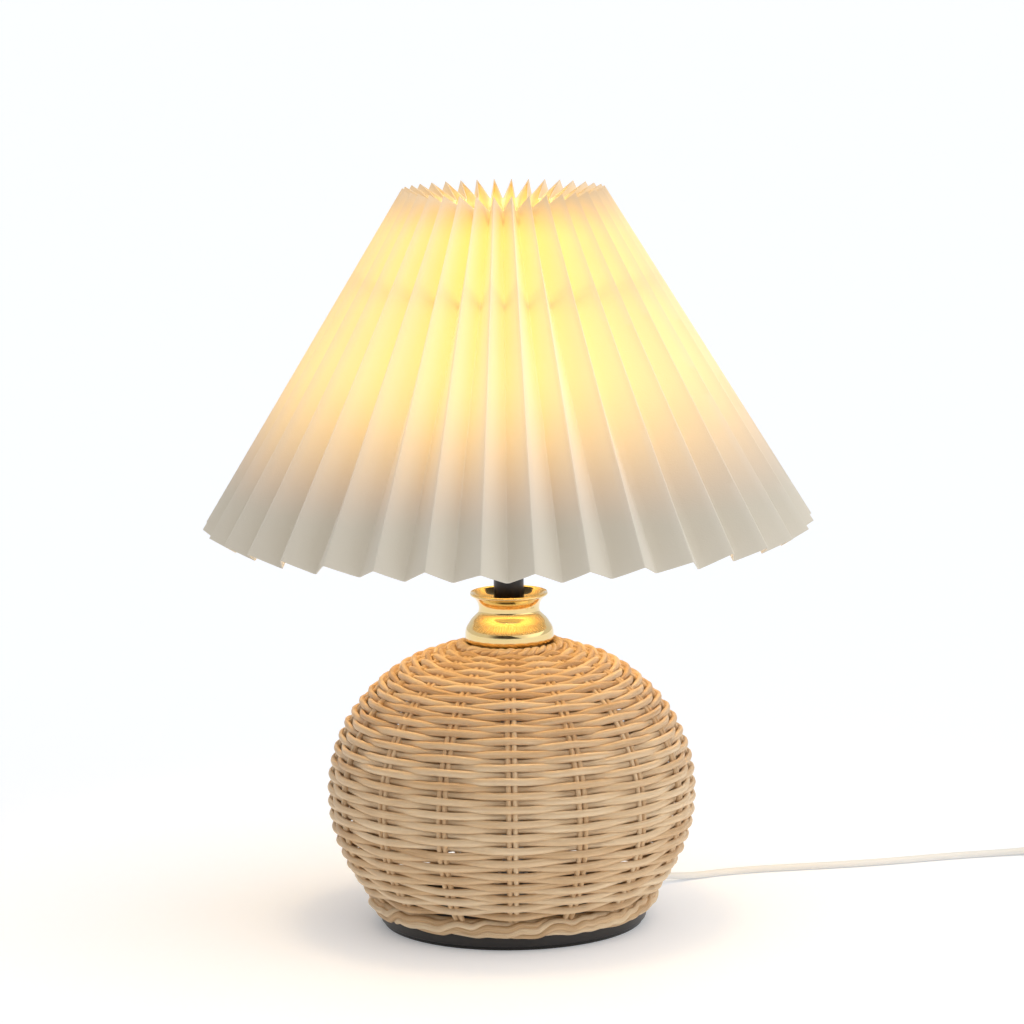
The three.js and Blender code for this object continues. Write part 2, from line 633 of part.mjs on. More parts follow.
// ---------- bulb ----------
function addBulb(lamp) {
  const bulb = assembly(lamp, [0, 0, bulbTip]);
  const shellBottom = CAP_SHELL_BOTTOM;
  const tip = [
    [0, 0], [CAP_TIP_RADIUS - 1.4, 0], [CAP_TIP_RADIUS, CAP_TIP_HEIGHT], [0, CAP_TIP_HEIGHT],
  ];
  piece(bulb, "bulb_tip_contact", turned(tip), nickel);
  const insulatorBottom = CAP_TIP_HEIGHT + FIT;
  const insulator = [
    [0, insulatorBottom], [CAP_TIP_RADIUS, insulatorBottom], [CAP_RADIUS - 2, shellBottom - FIT],
    [CAP_RADIUS - CAP_WALL - 1, shellBottom + 1], [0, shellBottom + 1],
  ];
  piece(bulb, "bulb_insulator", turned(insulator), blackPlastic);

  const collarHeight = CAP_HEIGHT;
  const cap = [
    [CAP_RADIUS - 1.4, shellBottom], [CAP_RADIUS, shellBottom + 2], [CAP_RADIUS, collarHeight],
    [CAP_RADIUS - CAP_WALL, collarHeight], [CAP_RADIUS - CAP_WALL, shellBottom + 2.3],
    [CAP_RADIUS - 1.4 - CAP_WALL / 2, shellBottom + 0.4],
  ];
  piece(bulb, "bulb_cap", turned(cap), nickel);

  const rim = collarHeight + BULB_BODY_HEIGHT;
  const tail = CAP_RADIUS - CAP_WALL - FIT;
  const rimRadius = BULB_RADIUS - 0.8;
  const t = BULB_WALL;
  const underCap = collarHeight + FIT;
  const body = [
    [tail - t, collarHeight - BULB_TAIL], [tail, collarHeight - BULB_TAIL], [tail, underCap],
    [CAP_RADIUS + 1, underCap], [CAP_RADIUS + 1.6, underCap + 6], [CAP_RADIUS + 5, underCap + 12],
    [rimRadius - 5, rim - 11], [rimRadius - 0.8, rim - 3], [rimRadius, rim],
    [rimRadius - t, rim], [rimRadius - 0.8 - t, rim - 2.6], [rimRadius - 5 - t, rim - 10.2],
    [CAP_RADIUS + 5 - t, underCap + 12.8], [CAP_RADIUS + 1.6 - t, underCap + 6.8],
    [tail - t, underCap + 1],
  ];
  piece(bulb, "bulb_body", turned(body), whitePlastic);

  const boardTop = rim - 0.6;
  const boardBottom = boardTop - 1.6;
  piece(bulb, "led_board", rod(rimRadius - 2 * t - FIT, boardBottom, boardTop), steel);
  const driverHeight = boardBottom - FIT - (collarHeight - BULB_TAIL);
  const driver = block(2 * tail - 2 * t - 4, 1.6, driverHeight);
  driver.translate(0, 0, collarHeight - BULB_TAIL + driverHeight / 2);
  piece(bulb, "bulb_driver", driver, ceramic);

  piece(bulb, "bulb_dome", turned(dome(rim + FIT, rimRadius)), opal);
}

function dome(bottom, rimRadius) {
  const equator = BULB_HEIGHT - BULB_RADIUS;
  const middle = (bottom + equator) / 2;
  const outside = [[rimRadius, bottom], [(rimRadius + 2 * BULB_RADIUS) / 3, middle]];
  const inside = [[rimRadius - BULB_WALL, bottom], [BULB_RADIUS - BULB_WALL - 0.3, middle]];
  const arcSteps = 5;
  for (let i = 0; i <= arcSteps; i++) {
    const angle = ((Math.PI / 2) * i) / arcSteps;
    const c = i === arcSteps ? 0 : Math.cos(angle);
    const s = Math.sin(angle);
    outside.push([BULB_RADIUS * c, equator + BULB_RADIUS * s]);
    inside.push([(BULB_RADIUS - BULB_WALL) * c, equator + (BULB_RADIUS - BULB_WALL) * s]);
  }
  return [...inside.reverse(), ...outside];
}

// ---------- shade ----------
const shadeSlope = Math.atan2(SHADE_HEM_RADIUS - SHADE_TOP_RADIUS, SHADE_HEIGHT);
const inward = [-Math.cos(shadeSlope), -Math.sin(shadeSlope)]; // square to the slope, [radius, height]

// Half the width of a pleat where its outer fold is at this radius and it is this deep.
function halfPitch(foldRadius, depth) {
  return (Math.PI * (foldRadius + (inward[0] * depth) / 2)) / PLEATS;
}

// The pleats' strips are as wide at the top as at the hem, so there they stand deeper.
function depthAtTop() {
  const stripWidth = Math.hypot(PLEAT_DEPTH_HEM, halfPitch(SHADE_HEM_RADIUS, PLEAT_DEPTH_HEM));
  let depth = stripWidth;
  const rounds = 12;
  for (let i = 0; i < rounds; i++) {
    depth = Math.sqrt(stripWidth ** 2 - halfPitch(SHADE_TOP_RADIUS, depth) ** 2);
  }
  return depth;
}
const pleatDepthTop = depthAtTop();

// [radius, height] of a fold: along runs from 0 at the top to 1 at the hem.
function foldPoint(along, isInner, behind) {
  const foldRadius = THREE.MathUtils.lerp(SHADE_TOP_RADIUS, SHADE_HEM_RADIUS, along);
  const depth = THREE.MathUtils.lerp(pleatDepthTop, PLEAT_DEPTH_HEM, along);
  const sharpness = Math.atan2(halfPitch(foldRadius, depth), depth);
  const setIn = (isInner ? depth : 0) + (behind ? CLOTH / Math.sin(sharpness) : 0);
  return [
    foldRadius + inward[0] * setIn,
    THREE.MathUtils.lerp(shadeTop, hemHeight, along) + inward[1] * setIn,
  ];
}

function pleatedCloth() {
  const folds = 2 * PLEATS;
  const positions = [];
  for (const behind of [false, true]) {
    for (let level = 0; level <= CLOTH_LEVELS; level++) {
      for (let k = 0; k < folds; k++) {
        const [radius, height] = foldPoint(level / CLOTH_LEVELS, k % 2 === 0, behind);
        const angle = -Math.PI / 2 + (k * Math.PI) / PLEATS;
        positions.push(radius * Math.cos(angle), radius * Math.sin(angle), height);
      }
    }
  }
  const at = (side, level, k) => (side * (CLOTH_LEVELS + 1) + level) * folds + (k % folds);
  const index = [];
  const quad = (a, b, c, d) => index.push(a, b, c, a, c, d);
  for (let k = 0; k < folds; k++) {
    for (let level = 0; level < CLOTH_LEVELS; level++) {
      quad(at(0, level, k), at(0, level + 1, k), at(0, level + 1, k + 1), at(0, level, k + 1));
      quad(at(1, level, k), at(1, level, k + 1), at(1, level + 1, k + 1), at(1, level + 1, k));
    }
    quad(at(0, 0, k), at(0, 0, k + 1), at(1, 0, k + 1), at(1, 0, k));
    const hem = CLOTH_LEVELS;
    quad(at(0, hem, k), at(1, hem, k), at(1, hem, k + 1), at(0, hem, k + 1));
  }
  const geometry = new THREE.BufferGeometry();
  geometry.setAttribute("position", new THREE.Float32BufferAttribute(positions, 3));
  geometry.setIndex(index);
  geometry.computeVertexNormals();
  return geometry;
}

// Radius of the cloth's inner folds, seen from inside, at a height.
function innerFoldRadius(height) {
  const [topRadius, topHeight] = foldPoint(0, true, true);
  const [hemRadius, hemBottom] = foldPoint(1, true, true);
  return topRadius + ((hemRadius - topRadius) * (topHeight - height)) / (topHeight - hemBottom);
}

function wireRing(radius, height) {
  const section = [];
  const sides = 6;
  for (let i = 0; i < sides; i++) {
    const angle = (2 * Math.PI * (i + 0.5)) / sides;
    section.push([radius + WIRE_RADIUS * Math.cos(angle), height + WIRE_RADIUS * Math.sin(angle)]);
  }
  return turned(section, LARGE_ROUND);
}

function wire(points, steps) {
  return swept(ellipseSection(2 * WIRE_RADIUS, 2 * WIRE_RADIUS, 6), points, steps);
}

function addShade(lamp) {
  const shade = assembly(lamp);
  piece(shade, "shade_cover", pleatedCloth(), cloth);
  const topRingHeight = shadeTop - TOP_RING_DROP;
  const lowerRingHeight = shadeTop - LOWER_RING_DROP;
  const ringInset = (FIT + WIRE_RADIUS) / Math.cos(shadeSlope);
  const topRingRadius = innerFoldRadius(topRingHeight) - ringInset;
  const lowerRingRadius = innerFoldRadius(lowerRingHeight) - ringInset;
  piece(shade, "shade_top_ring", wireRing(topRingRadius, topRingHeight), whiteWire);
  piece(shade, "shade_lower_ring", wireRing(lowerRingRadius, lowerRingHeight), whiteWire);

  const fitterBottom = seatTop + FIT;
  const fitterTop = fitterBottom + FITTER_THICKNESS;
  const fitter = ring(fitterBore, fitterRadius, fitterBottom, fitterTop, LARGE_ROUND);
  piece(shade, "fitter_ring", fitter, whiteWire);

  const slope = new THREE.Vector2(lowerRingRadius - topRingRadius, lowerRingHeight - topRingHeight);
  slope.setLength(WIRE_RADIUS + FIT);
  const footRadius = (fitterRadius + ringNutRadius) / 2 + FIT;
  for (let i = 0; i < ARMS; i++) {
    const turn = (360 * i) / ARMS - 90;
    const arm = [
      [footRadius, 0, fitterTop + FIT], [footRadius, 0, fitterTop + 5],
      [footRadius + 3, 0, fitterTop + 14],
      [lowerRingRadius - 2.2, 0, lowerRingHeight - WIRE_RADIUS - 4.5],
      [lowerRingRadius, 0, lowerRingHeight - WIRE_RADIUS - FIT],
    ];
    const strut = [
      [topRingRadius + slope.x, 0, topRingHeight + slope.y],
      [lowerRingRadius - slope.x, 0, lowerRingHeight - slope.y],
    ];
    const frame = assembly(shade, [0, 0, 0], turn);
    piece(frame, "shade_arm_" + (i + 1), wire(arm, 9), whiteWire);
    piece(frame, "shade_strut_" + (i + 1), wire(strut, 1), whiteWire);
  }
}

// ---------- mains lead ----------
function cordTube(points, steps) {
  return swept(ellipseSection(CORD_THICKNESS, CORD_WIDTH, CORD_SIDES), points, steps);
}

// The lead inside the lamp: along the groove, round a bend and up the tube into the holder.
function innerLead() {
  const height = EXIT_HEIGHT;
  const start = BASE_RADIUS - RELIEF_ROOT - FIT;
  const points = [[start, 0, height], [start / 2, 0, height], [LEAD_BEND + 6, 0, height]];
  const bendSteps = 4;
  for (let i = 0; i <= bendSteps; i++) {
    const angle = ((Math.PI / 2) * i) / bendSteps;
    points.push([LEAD_BEND * (1 - Math.sin(angle)), 0, height + LEAD_BEND * (1 - Math.cos(angle))]);
  }
  const top = stemTop + 2;
  points.push([0, 0, height + LEAD_BEND + 6], [0, 0, (height + top) / 2], [0, 0, top]);
  return cordTube(points, 24);
}

// Tapered moulding round the lead where it leaves the base, along +X from inside the rim.
function strainRelief() {
  const section = (width, thickness) => ellipseSection(thickness, width, 12).getPoints();
  const middleWidth = (RELIEF_ROOT_WIDTH + RELIEF_TIP_WIDTH) / 2;
  const middleThickness = (RELIEF_ROOT_THICKNESS + RELIEF_TIP_THICKNESS) / 2;
  const stations = [
    [-RELIEF_ROOT, RELIEF_ROOT_WIDTH - 1, RELIEF_ROOT_THICKNESS - 0.6],
    [-RELIEF_ROOT + 0.8, RELIEF_ROOT_WIDTH, RELIEF_ROOT_THICKNESS],
    [RELIEF_LENGTH / 3, middleWidth, middleThickness],
    [RELIEF_LENGTH, RELIEF_TIP_WIDTH, RELIEF_TIP_THICKNESS],
  ];
  const sides = section(1, 1).length;
  const positions = [];
  stations.forEach(([x, width, thickness]) => {
    section(width, thickness).forEach((p) => positions.push(x, p.y, p.x));
  });
  const last = stations.length - 1;
  stations.forEach(([x], i) => {
    if (i === 0 || i === last) positions.push(x, 0, 0);
  });
  const index = [];
  for (let i = 0; i < last; i++) {
    for (let k = 0; k < sides; k++) {
      const next = (k + 1) % sides;
      const [near, far] = [i * sides, (i + 1) * sides];
      index.push(near + k, far + next, near + next, near + k, far + k, far + next);
    }
  }
  const rootCentre = stations.length * sides;
  for (let k = 0; k < sides; k++) {
    const next = (k + 1) % sides;
    index.push(rootCentre, k, next);
    index.push(rootCentre + 1, last * sides + next, last * sides + k);
  }
  const geometry = new THREE.BufferGeometry();
  geometry.setAttribute("position", new THREE.Float32BufferAttribute(positions, 3));
  geometry.setIndex(index);
  geometry.computeVertexNormals();
  return geometry;
}

function addLead(lamp) {
  const inside = assembly(lamp, [0, 0, 0], EXIT_ANGLE);
  piece(inside, "inner_lead", innerLead(), pvc);
  const exit = [
    BASE_RADIUS * Math.cos(radians(EXIT_ANGLE)), BASE_RADIUS * Math.sin(radians(EXIT_ANGLE)), EXIT_HEIGHT,
  ];
  piece(assembly(lamp, exit, EXIT_ANGLE), "strain_relief", strainRelief(), pvc);

  const lead = assembly(lamp);
  piece(lead, "cord_to_switch", cordTube(CORD_TO_SWITCH, 20), pvc);
  piece(lead, "cord_to_coil", cordTube(CORD_TO_COIL, 8), pvc);
  piece(lead, "cord_to_plug", cordTube(CORD_TO_PLUG, 8), pvc);

  const coil = assembly(lamp, [...COIL_CENTRE, 0]);
  const coilBottom = TIE_THICKNESS + FIT;
  const inner = COIL_MIDDLE_RADIUS - COIL_HALF_WIDTH;
  const outer = COIL_MIDDLE_RADIUS + COIL_HALF_WIDTH;
  piece(coil, "cord_coil", ring(inner, outer, coilBottom, coilBottom + COIL_HEIGHT, LARGE_ROUND), pvc);
  const tieWidth = 2 * COIL_HALF_WIDTH + 4 * FIT;
  const tieHeight = COIL_HEIGHT + 2 * FIT;
  const band = cut(
    block(tieWidth + 2 * TIE_THICKNESS, TIE_WIDTH, tieHeight + 2 * TIE_THICKNESS),
    block(tieWidth, TIE_WIDTH + 2, tieHeight),
  );
  const tie = piece(assembly(coil, [0, 0, 0], TIE_ANGLE), "coil_tie", band, felt);
  tie.position.set(COIL_MIDDLE_RADIUS, 0, coilBottom + COIL_HEIGHT / 2);
}

// ---------- switch on the lead ----------
function addSwitch(lamp) {
  const box = assembly(lamp, [...SWITCH_PLACE, 0]);
  const roomLength = SWITCH_LENGTH - 2 * SWITCH_END;
  const roomWidth = SWITCH_WIDTH - 2 * SWITCH_WALL;
  const split = SWITCH_SPLIT;
  const body = roundedOutline(SWITCH_LENGTH, SWITCH_WIDTH, SWITCH_CORNER);
  const outlet = block(SWITCH_LENGTH + 2, CORD_WIDTH + 2 * FIT, CORD_THICKNESS + 2 * FIT);
  outlet.translate(0, 0, SWITCH_INLET);
  const screwX = SWITCH_LENGTH / 2 - SWITCH_END / 2 - 0.5;
  const screwY = CORD_WIDTH / 2 + FIT + SCREW_RADIUS + 2 * FIT;
  const screwPlaces = [[screwX, screwY], [-screwX, -screwY]];
  const shaftRadius = SCREW_RADIUS - 0.3;
  const headRadius = SCREW_RADIUS + 0.8;
  const atScrews = (radius, bottom, top) =>
    screwPlaces.map(([x, y]) => rod(radius + FIT, bottom, top, 12).translate(x, y, 0));
  const heads = atScrews(headRadius, -1, SCREW_HEAD_HEIGHT + FIT);

  const lowerRoom = block(roomLength, roomWidth, split).translate(0, 0, SWITCH_WALL + split / 2);
  piece(
    box, "switch_lower_shell",
    cut(plate(body, split), lowerRoom, outlet, ...atScrews(shaftRadius, -1, split + 1), ...heads),
    whitePlastic,
  );

  const upperBottom = split + FIT;
  const lid = plate(body, SWITCH_HEIGHT - upperBottom).translate(0, 0, upperBottom);
  const ceiling = SWITCH_HEIGHT - SWITCH_WALL;
  const upperRoom = block(roomLength, roomWidth, split).translate(0, 0, ceiling - split / 2);
  const window = block(ROCKER_LENGTH + 6 * FIT, ROCKER_WIDTH + 2 * FIT, split);
  window.translate(0, 0, SWITCH_HEIGHT);
  piece(
    box, "switch_upper_shell",
    cut(lid, upperRoom, window, ...atScrews(shaftRadius, upperBottom - 1, ceiling)), whitePlastic,
  );

  screwPlaces.forEach(([x, y], i) => {
    const top = ceiling - FIT;
    const screw = turned([
      [0, FIT], [headRadius - FIT, FIT], [headRadius - FIT, SCREW_HEAD_HEIGHT],
      [shaftRadius, SCREW_HEAD_HEIGHT], [shaftRadius, top], [0, top],
    ], 12);
    piece(box, "switch_screw_" + (i + 1), screw, steel).position.set(x, y, 0);
  });

  const rockerGroup = assembly(box, [0, 0, rockerPivot]);
  const rocker = piece(rockerGroup, "switch_rocker", rockerShape(), whitePlastic);
  rocker.rotation.y = radians(ROCKER_TILT);
  const pin = new THREE.CylinderGeometry(ROCKER_PIN_RADIUS, ROCKER_PIN_RADIUS, roomWidth - 2 * FIT, 12);
  piece(rockerGroup, "rocker_pin", pin, steel);
  const strip = block(roomLength - 2 * FIT, 4, CONTACT_THICKNESS);
  strip.translate(0, 0, SWITCH_WALL + FIT + CONTACT_THICKNESS / 2);
  piece(box, "switch_contact", strip, copper);
}

// Side view of the rocker: two slopes that meet over the pivot, with a hole for its pin.
function rockerShape() {
  const x = ROCKER_LENGTH / 2;
  const top = SWITCH_HEIGHT - rockerPivot;
  const side = new THREE.Shape();
  side.moveTo(-x, top - 1);
  side.lineTo(-x + 1.5, -0.5);
  side.lineTo(-3, -ROCKER_DEPTH);
  side.lineTo(3, -ROCKER_DEPTH);
  side.lineTo(x - 1.5, -0.5);
  side.lineTo(x, top - 1);
  side.lineTo(x, top + ROCKER_PROUD - 0.4);
  side.quadraticCurveTo(x / 2, top + 0.9, 0, top + 0.8);
  side.quadraticCurveTo(-x / 2, top + 0.9, -x, top + ROCKER_PROUD - 0.4);
  const hole = new THREE.Path();
  hole.absarc(0, 0, ROCKER_PIN_RADIUS + FIT, 0, 2 * Math.PI, true);
  side.holes.push(hole);
  const settings = { depth: ROCKER_WIDTH, bevelEnabled: false, curveSegments: 6 };
  const shape = new THREE.ExtrudeGeometry(side, settings);
  return shape.rotateX(Math.PI / 2).translate(0, ROCKER_WIDTH / 2, 0);
}

// ---------- plug ----------
function addPlug(lamp) {
  const plug = assembly(lamp, [...PLUG_PLACE, PLUG_THICKNESS / 2]);
  const w = PLUG_WIDTH / 2;
  const n = PLUG_NOSE_WIDTH / 2;
  const face = -PLUG_LENGTH;
  const shape = new THREE.Shape();
  shape.moveTo(-n, 0);
  shape.lineTo(-n, -8);
  shape.quadraticCurveTo(-n - 0.5, -13, -w, face + PLUG_FACE_LENGTH);
  shape.lineTo(-w, face + 1);
  shape.lineTo(-w + 1, face);
  shape.lineTo(w - 1, face);
  shape.lineTo(w, face + 1);
  shape.lineTo(w, face + PLUG_FACE_LENGTH);
  shape.quadraticCurveTo(n + 0.5, -13, n, -8);
  shape.lineTo(n, 0);
  const bevel = 1.5;
  const slab = new THREE.ExtrudeGeometry(shape, {
    depth: PLUG_THICKNESS - 2 * bevel, bevelEnabled: true, bevelThickness: bevel, bevelSize: bevel,
    bevelOffset: -bevel, bevelSegments: 2, curveSegments: 5,
  });
  slab.translate(0, 0, bevel - PLUG_THICKNESS / 2);
  const alongY = (radius, from, to) =>
    new THREE.CylinderGeometry(radius, radius, to - from, 12).translate(0, (from + to) / 2, 0);
  const sides = [-PIN_SPACING / 2, PIN_SPACING / 2];
  const sleeveEnd = face - PIN_SLEEVE_LENGTH;
  const shaftTop = face + 8;
  const sleeves = sides.map((x) => alongY(PIN_RADIUS, sleeveEnd, face + 2).translate(x, 0, 0));
  const boreRadius = PIN_SHAFT_RADIUS + FIT;
  const bores = sides.map((x) => alongY(boreRadius, sleeveEnd - 1, shaftTop + FIT).translate(x, 0, 0));
  piece(plug, "plug_body", cut(join(slab, ...sleeves), ...bores), pvc);
  sides.forEach((x, i) => {
    const pin = join(
      alongY(PIN_SHAFT_RADIUS, sleeveEnd - 2, shaftTop),
      alongY(PIN_RADIUS, face - PIN_LENGTH, sleeveEnd - FIT),
    );
    piece(plug, "plug_pin_" + (i + 1), pin.translate(x, 0, 0), nickel);
  });
}

const lamp = new THREE.Group();
addBase(lamp);
addBall(lamp);
addNeck(lamp);
addHolder(lamp);
addBulb(lamp);
addShade(lamp);
addLead(lamp);
addSwitch(lamp);
addPlug(lamp);

export default lamp;
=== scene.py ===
# Table lamp with a pleated cone shade, a spun brass neck, a woven rattan ball on a weighted disc,
# and a flat mains lead with a rocker switch and a plug. Metres, +Z up, the front is -Y.
import math
import random
from functools import partial

import bmesh
import bpy
from mathutils import Matrix, Vector, noise


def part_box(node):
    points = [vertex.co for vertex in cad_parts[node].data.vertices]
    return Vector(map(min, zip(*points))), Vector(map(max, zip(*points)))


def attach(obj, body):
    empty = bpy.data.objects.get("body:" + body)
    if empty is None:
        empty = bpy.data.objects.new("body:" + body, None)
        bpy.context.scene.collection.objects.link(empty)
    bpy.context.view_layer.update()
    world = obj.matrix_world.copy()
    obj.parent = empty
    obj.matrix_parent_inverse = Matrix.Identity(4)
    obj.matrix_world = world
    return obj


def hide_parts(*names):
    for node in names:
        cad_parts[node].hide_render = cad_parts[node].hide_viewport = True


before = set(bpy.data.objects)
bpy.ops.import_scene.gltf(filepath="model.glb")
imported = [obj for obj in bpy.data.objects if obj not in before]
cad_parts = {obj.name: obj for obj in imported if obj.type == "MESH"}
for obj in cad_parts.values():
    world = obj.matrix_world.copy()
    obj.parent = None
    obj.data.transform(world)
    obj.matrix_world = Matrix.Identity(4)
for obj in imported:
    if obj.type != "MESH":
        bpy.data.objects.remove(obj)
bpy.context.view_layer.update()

# ---------------------------------------------------------------------------------------------
# Camera: long lens a little above the shade's middle, two metres in front of the lamp, with
# the slight roll of a hand-set tripod.
# ---------------------------------------------------------------------------------------------
camera_place = (0.002, -2.0, 0.513)
camera_pitch = math.radians(90 - 9.16)
camera_roll = math.radians(-0.85)

camera_data = bpy.data.cameras.new("camera")
camera_data.lens = 155.8
camera_data.sensor_width = 36
camera = bpy.data.objects.new("camera", camera_data)
camera.matrix_world = (
    Matrix.Translation(camera_place)
    @ Matrix.Rotation(camera_pitch, 4, "X")
    @ Matrix.Rotation(camera_roll, 4, "Z")
)
bpy.context.collection.objects.link(camera)
bpy.context.scene.camera = camera

# ---------------------------------------------------------------------------------------------
# Studio: a white floor that runs out of sight, a soft high key from the right, and a pale room
# that is brighter at the sides than in front, so that polished metal has something to mirror.
# ---------------------------------------------------------------------------------------------
floor_size = 60.0
floor_white = (0.845, 0.875, 0.93)
floor_glow = 0.17
room_front, room_side = 0.06, 0.72
front_ends, side_begins = -0.92, -0.45
key_strength = 1.45
key_softness = math.radians(100)
key_from = Vector((0.85, -0.55, 1.0))

floor_mesh = bpy.data.meshes.new("floor")
h = floor_size / 2
floor_mesh.from_pydata([(-h, -h, 0), (h, -h, 0), (h, h, 0), (-h, h, 0)], [], [(0, 1, 2, 3)])
floor = bpy.data.objects.new("floor", floor_mesh)
bpy.context.collection.objects.link(floor)
floor_material = bpy.data.materials.new("studio_floor")
floor_material.use_nodes = True
floor_shader = floor_material.node_tree.nodes["Principled BSDF"]
floor_shader.inputs["Base Color"].default_value = (*floor_white, 1)
floor_shader.inputs["Roughness"].default_value = 0.6
floor_shader.inputs["Specular IOR Level"].default_value = 0.2
floor_shader.inputs["Emission Color"].default_value = (1, 1, 1, 1)
floor_shader.inputs["Emission Strength"].default_value = floor_glow
floor_mesh.materials.append(floor_material)

room = bpy.data.worlds.new("studio_room")
room.use_nodes = True
room_nodes, room_links = room.node_tree.nodes, room.node_tree.links
background = room_nodes["Background"]
direction = room_nodes.new("ShaderNodeTexCoord")
parts = room_nodes.new("ShaderNodeSeparateXYZ")
room_links.new(direction.outputs["Generated"], parts.inputs[0])
sideness = room_nodes.new("ShaderNodeMapRange")
sideness.interpolation_type = "SMOOTHSTEP"
for label, value in (("From Min", front_ends), ("From Max", side_begins),
                     ("To Min", room_front), ("To Max", room_side)):
    sideness.inputs[label].default_value = value
room_links.new(parts.outputs["Y"], sideness.inputs["Value"])
seen_directly = room_nodes.new("ShaderNodeLightPath")
shown = room_nodes.new("ShaderNodeMix")
room_links.new(seen_directly.outputs["Is Camera Ray"], shown.inputs["Factor"])
room_links.new(sideness.outputs[0], shown.inputs["A"])
shown.inputs["B"].default_value = 1.0
room_links.new(shown.outputs["Result"], background.inputs["Strength"])
background.inputs["Color"].default_value = (1.0, 0.995, 0.985, 1)
bpy.context.scene.world = room
bpy.context.scene.view_settings.view_transform = "Standard"

key_data = bpy.data.lights.new("key", "SUN")
key_data.energy = key_strength
key_data.angle = key_softness
key_data.color = (1.0, 0.985, 0.96)
key = bpy.data.objects.new("key", key_data)
key.matrix_world = key_from.to_track_quat("Z", "Y").to_matrix().to_4x4()
bpy.context.collection.objects.link(key)

# ---------------------------------------------------------------------------------------------
# Lead: flat two-core mains lead, white PVC, 1.8 m long from the strain relief to the plug. It
# runs through the switch, and its spare length is wound into a neat coil held by a tie.
# ---------------------------------------------------------------------------------------------
lead_width = 0.005
lead_thickness = 0.0029

lead_exit = (0.0643, 0.0539, 0.0046)
lead_rounding = 6
run_to_switch = [
    (0.0643, 0.0539, 0.0046), (0.0682, 0.0571, 0.0045), (0.0742, 0.0616, 0.0036),
    (0.0815, 0.0664, 0.0023), (0.0900, 0.0710, 0.0016), (0.1000, 0.0754, 0.0015),
    (0.1120, 0.0793, 0.0015), (0.1260, 0.0824, 0.0015), (0.1410, 0.0848, 0.0015),
    (0.1560, 0.0872, 0.0015), (0.1710, 0.0902, 0.0015), (0.1870, 0.0942, 0.0015),
    (0.2030, 0.0988, 0.0015), (0.2190, 0.1030, 0.0015), (0.2350, 0.1063, 0.0015),
    (0.2480, 0.1082, 0.0019), (0.2590, 0.1089, 0.0032), (0.2680, 0.1090, 0.0042),
]
run_to_coil = [
    (0.3286, 0.1090, 0.0042), (0.3335, 0.1090, 0.0042), (0.3420, 0.1080, 0.0032),
    (0.3504, 0.1040, 0.0027), (0.3566, 0.0970, 0.0026), (0.3589, 0.0880, 0.0026),
    (0.3570, 0.0790, 0.0026), (0.3524, 0.0704, 0.0026), (0.3470, 0.0622, 0.0026),
    (0.3435, 0.0530, 0.0026),
]
run_to_plug = [
    (0.2970, 0.0064, 0.0052), (0.2925, 0.0062, 0.0052), (0.2850, 0.0042, 0.0038),
    (0.2774, -0.0006, 0.0023), (0.2720, -0.0080, 0.0018), (0.2690, -0.0170, 0.0021),
    (0.2680, -0.0260, 0.0038), (0.2680, -0.0350, 0.0061), (0.2680, -0.0429, 0.0067),
]
coil_centre = (0.300, 0.050)
coil_layer_heights = (0.0024, 0.0054)
coil_layer_rings = 4
coil_pitch = 0.00525
coil_outer_radius = 0.0377
coil_points_per_turn = 24


def smooth_run(points, spacing):
    """Points close together on the smooth curve through the given ones."""
    dense = []
    for i in range(len(points) - 1):
        before = Vector(points[max(i - 1, 0)])
        a, b = Vector(points[i]), Vector(points[i + 1])
        after = Vector(points[min(i + 2, len(points) - 1)])
        steps = max(1, round((b - a).length / spacing))
        for k in range(steps):
            t = k / steps
            dense.append(
                0.5
                * (
                    2 * a
                    + (b - before) * t
                    + (2 * before - 5 * a + 4 * b - after) * t * t
                    + (3 * a - before - 3 * b + after) * t * t * t
                )
            )
    dense.append(Vector(points[-1]))
    return dense


def rising_step(u, start, end):
    """0 before start, 1 after end, and a smooth rise between."""
    t = min(max((u - start) / (end - start), 0), 1)
    return t * t * (3 - 2 * t)


def coil_run():
    """The turns between the two runs: four rings inwards on the floor, then four outwards on top."""
    cx, cy = coil_centre
    first, last = run_to_coil[-1], run_to_plug[0]
    start_angle = math.atan2(first[1] - cy, first[0] - cx)
    end_angle = math.atan2(last[1] - cy, last[0] - cx)
    turns = 2 * coil_layer_rings - 1 + (start_angle - end_angle) / (2 * math.pi)
    entry = math.hypot(first[0] - cx, first[1] - cy) - coil_outer_radius
    leave = math.hypot(last[0] - cx, last[1] - cy) - coil_outer_radius
    climb = coil_layer_rings - 0.45
    count = round(turns * coil_points_per_turn)
    points = []
    for i in range(1, count):
        u = turns * i / count
        angle = start_angle - 2 * math.pi * u
        radius = coil_outer_radius + entry * (1 - rising_step(u, -0.15, 0.22))
        for ring in range(1, coil_layer_rings):
            radius -= coil_pitch * rising_step(u, ring - 0.12, ring + 0.1)
            back = climb + 0.65 + ring - 1
            radius += coil_pitch * rising_step(u, back, back + 0.22)
        radius += leave * rising_step(u, turns - 0.25, turns + 0.12)
        low, high = coil_layer_heights
        height = low + (high - low) * rising_step(u, climb - 0.05, climb + 0.3)
        height += (first[2] - low) * (1 - rising_step(u, 0, 0.1))
        height += (last[2] - high) * rising_step(u, turns - 0.1, turns)
        points.append((cx + radius * math.cos(angle), cy + radius * math.sin(angle), height))
    return points


def flat_section(width, thickness, steps):
    """Outline of a flat lead: straight faces and half-round edges, as (across, up)."""
    r = thickness / 2
    side = width / 2 - r
    outline = []
    for centre, start in ((side, -90), (-side, 90)):
        for k in range(steps + 1):
            angle = math.radians(start + 180 * k / steps)
            outline.append((centre + r * math.cos(angle), r * math.sin(angle)))
    return outline


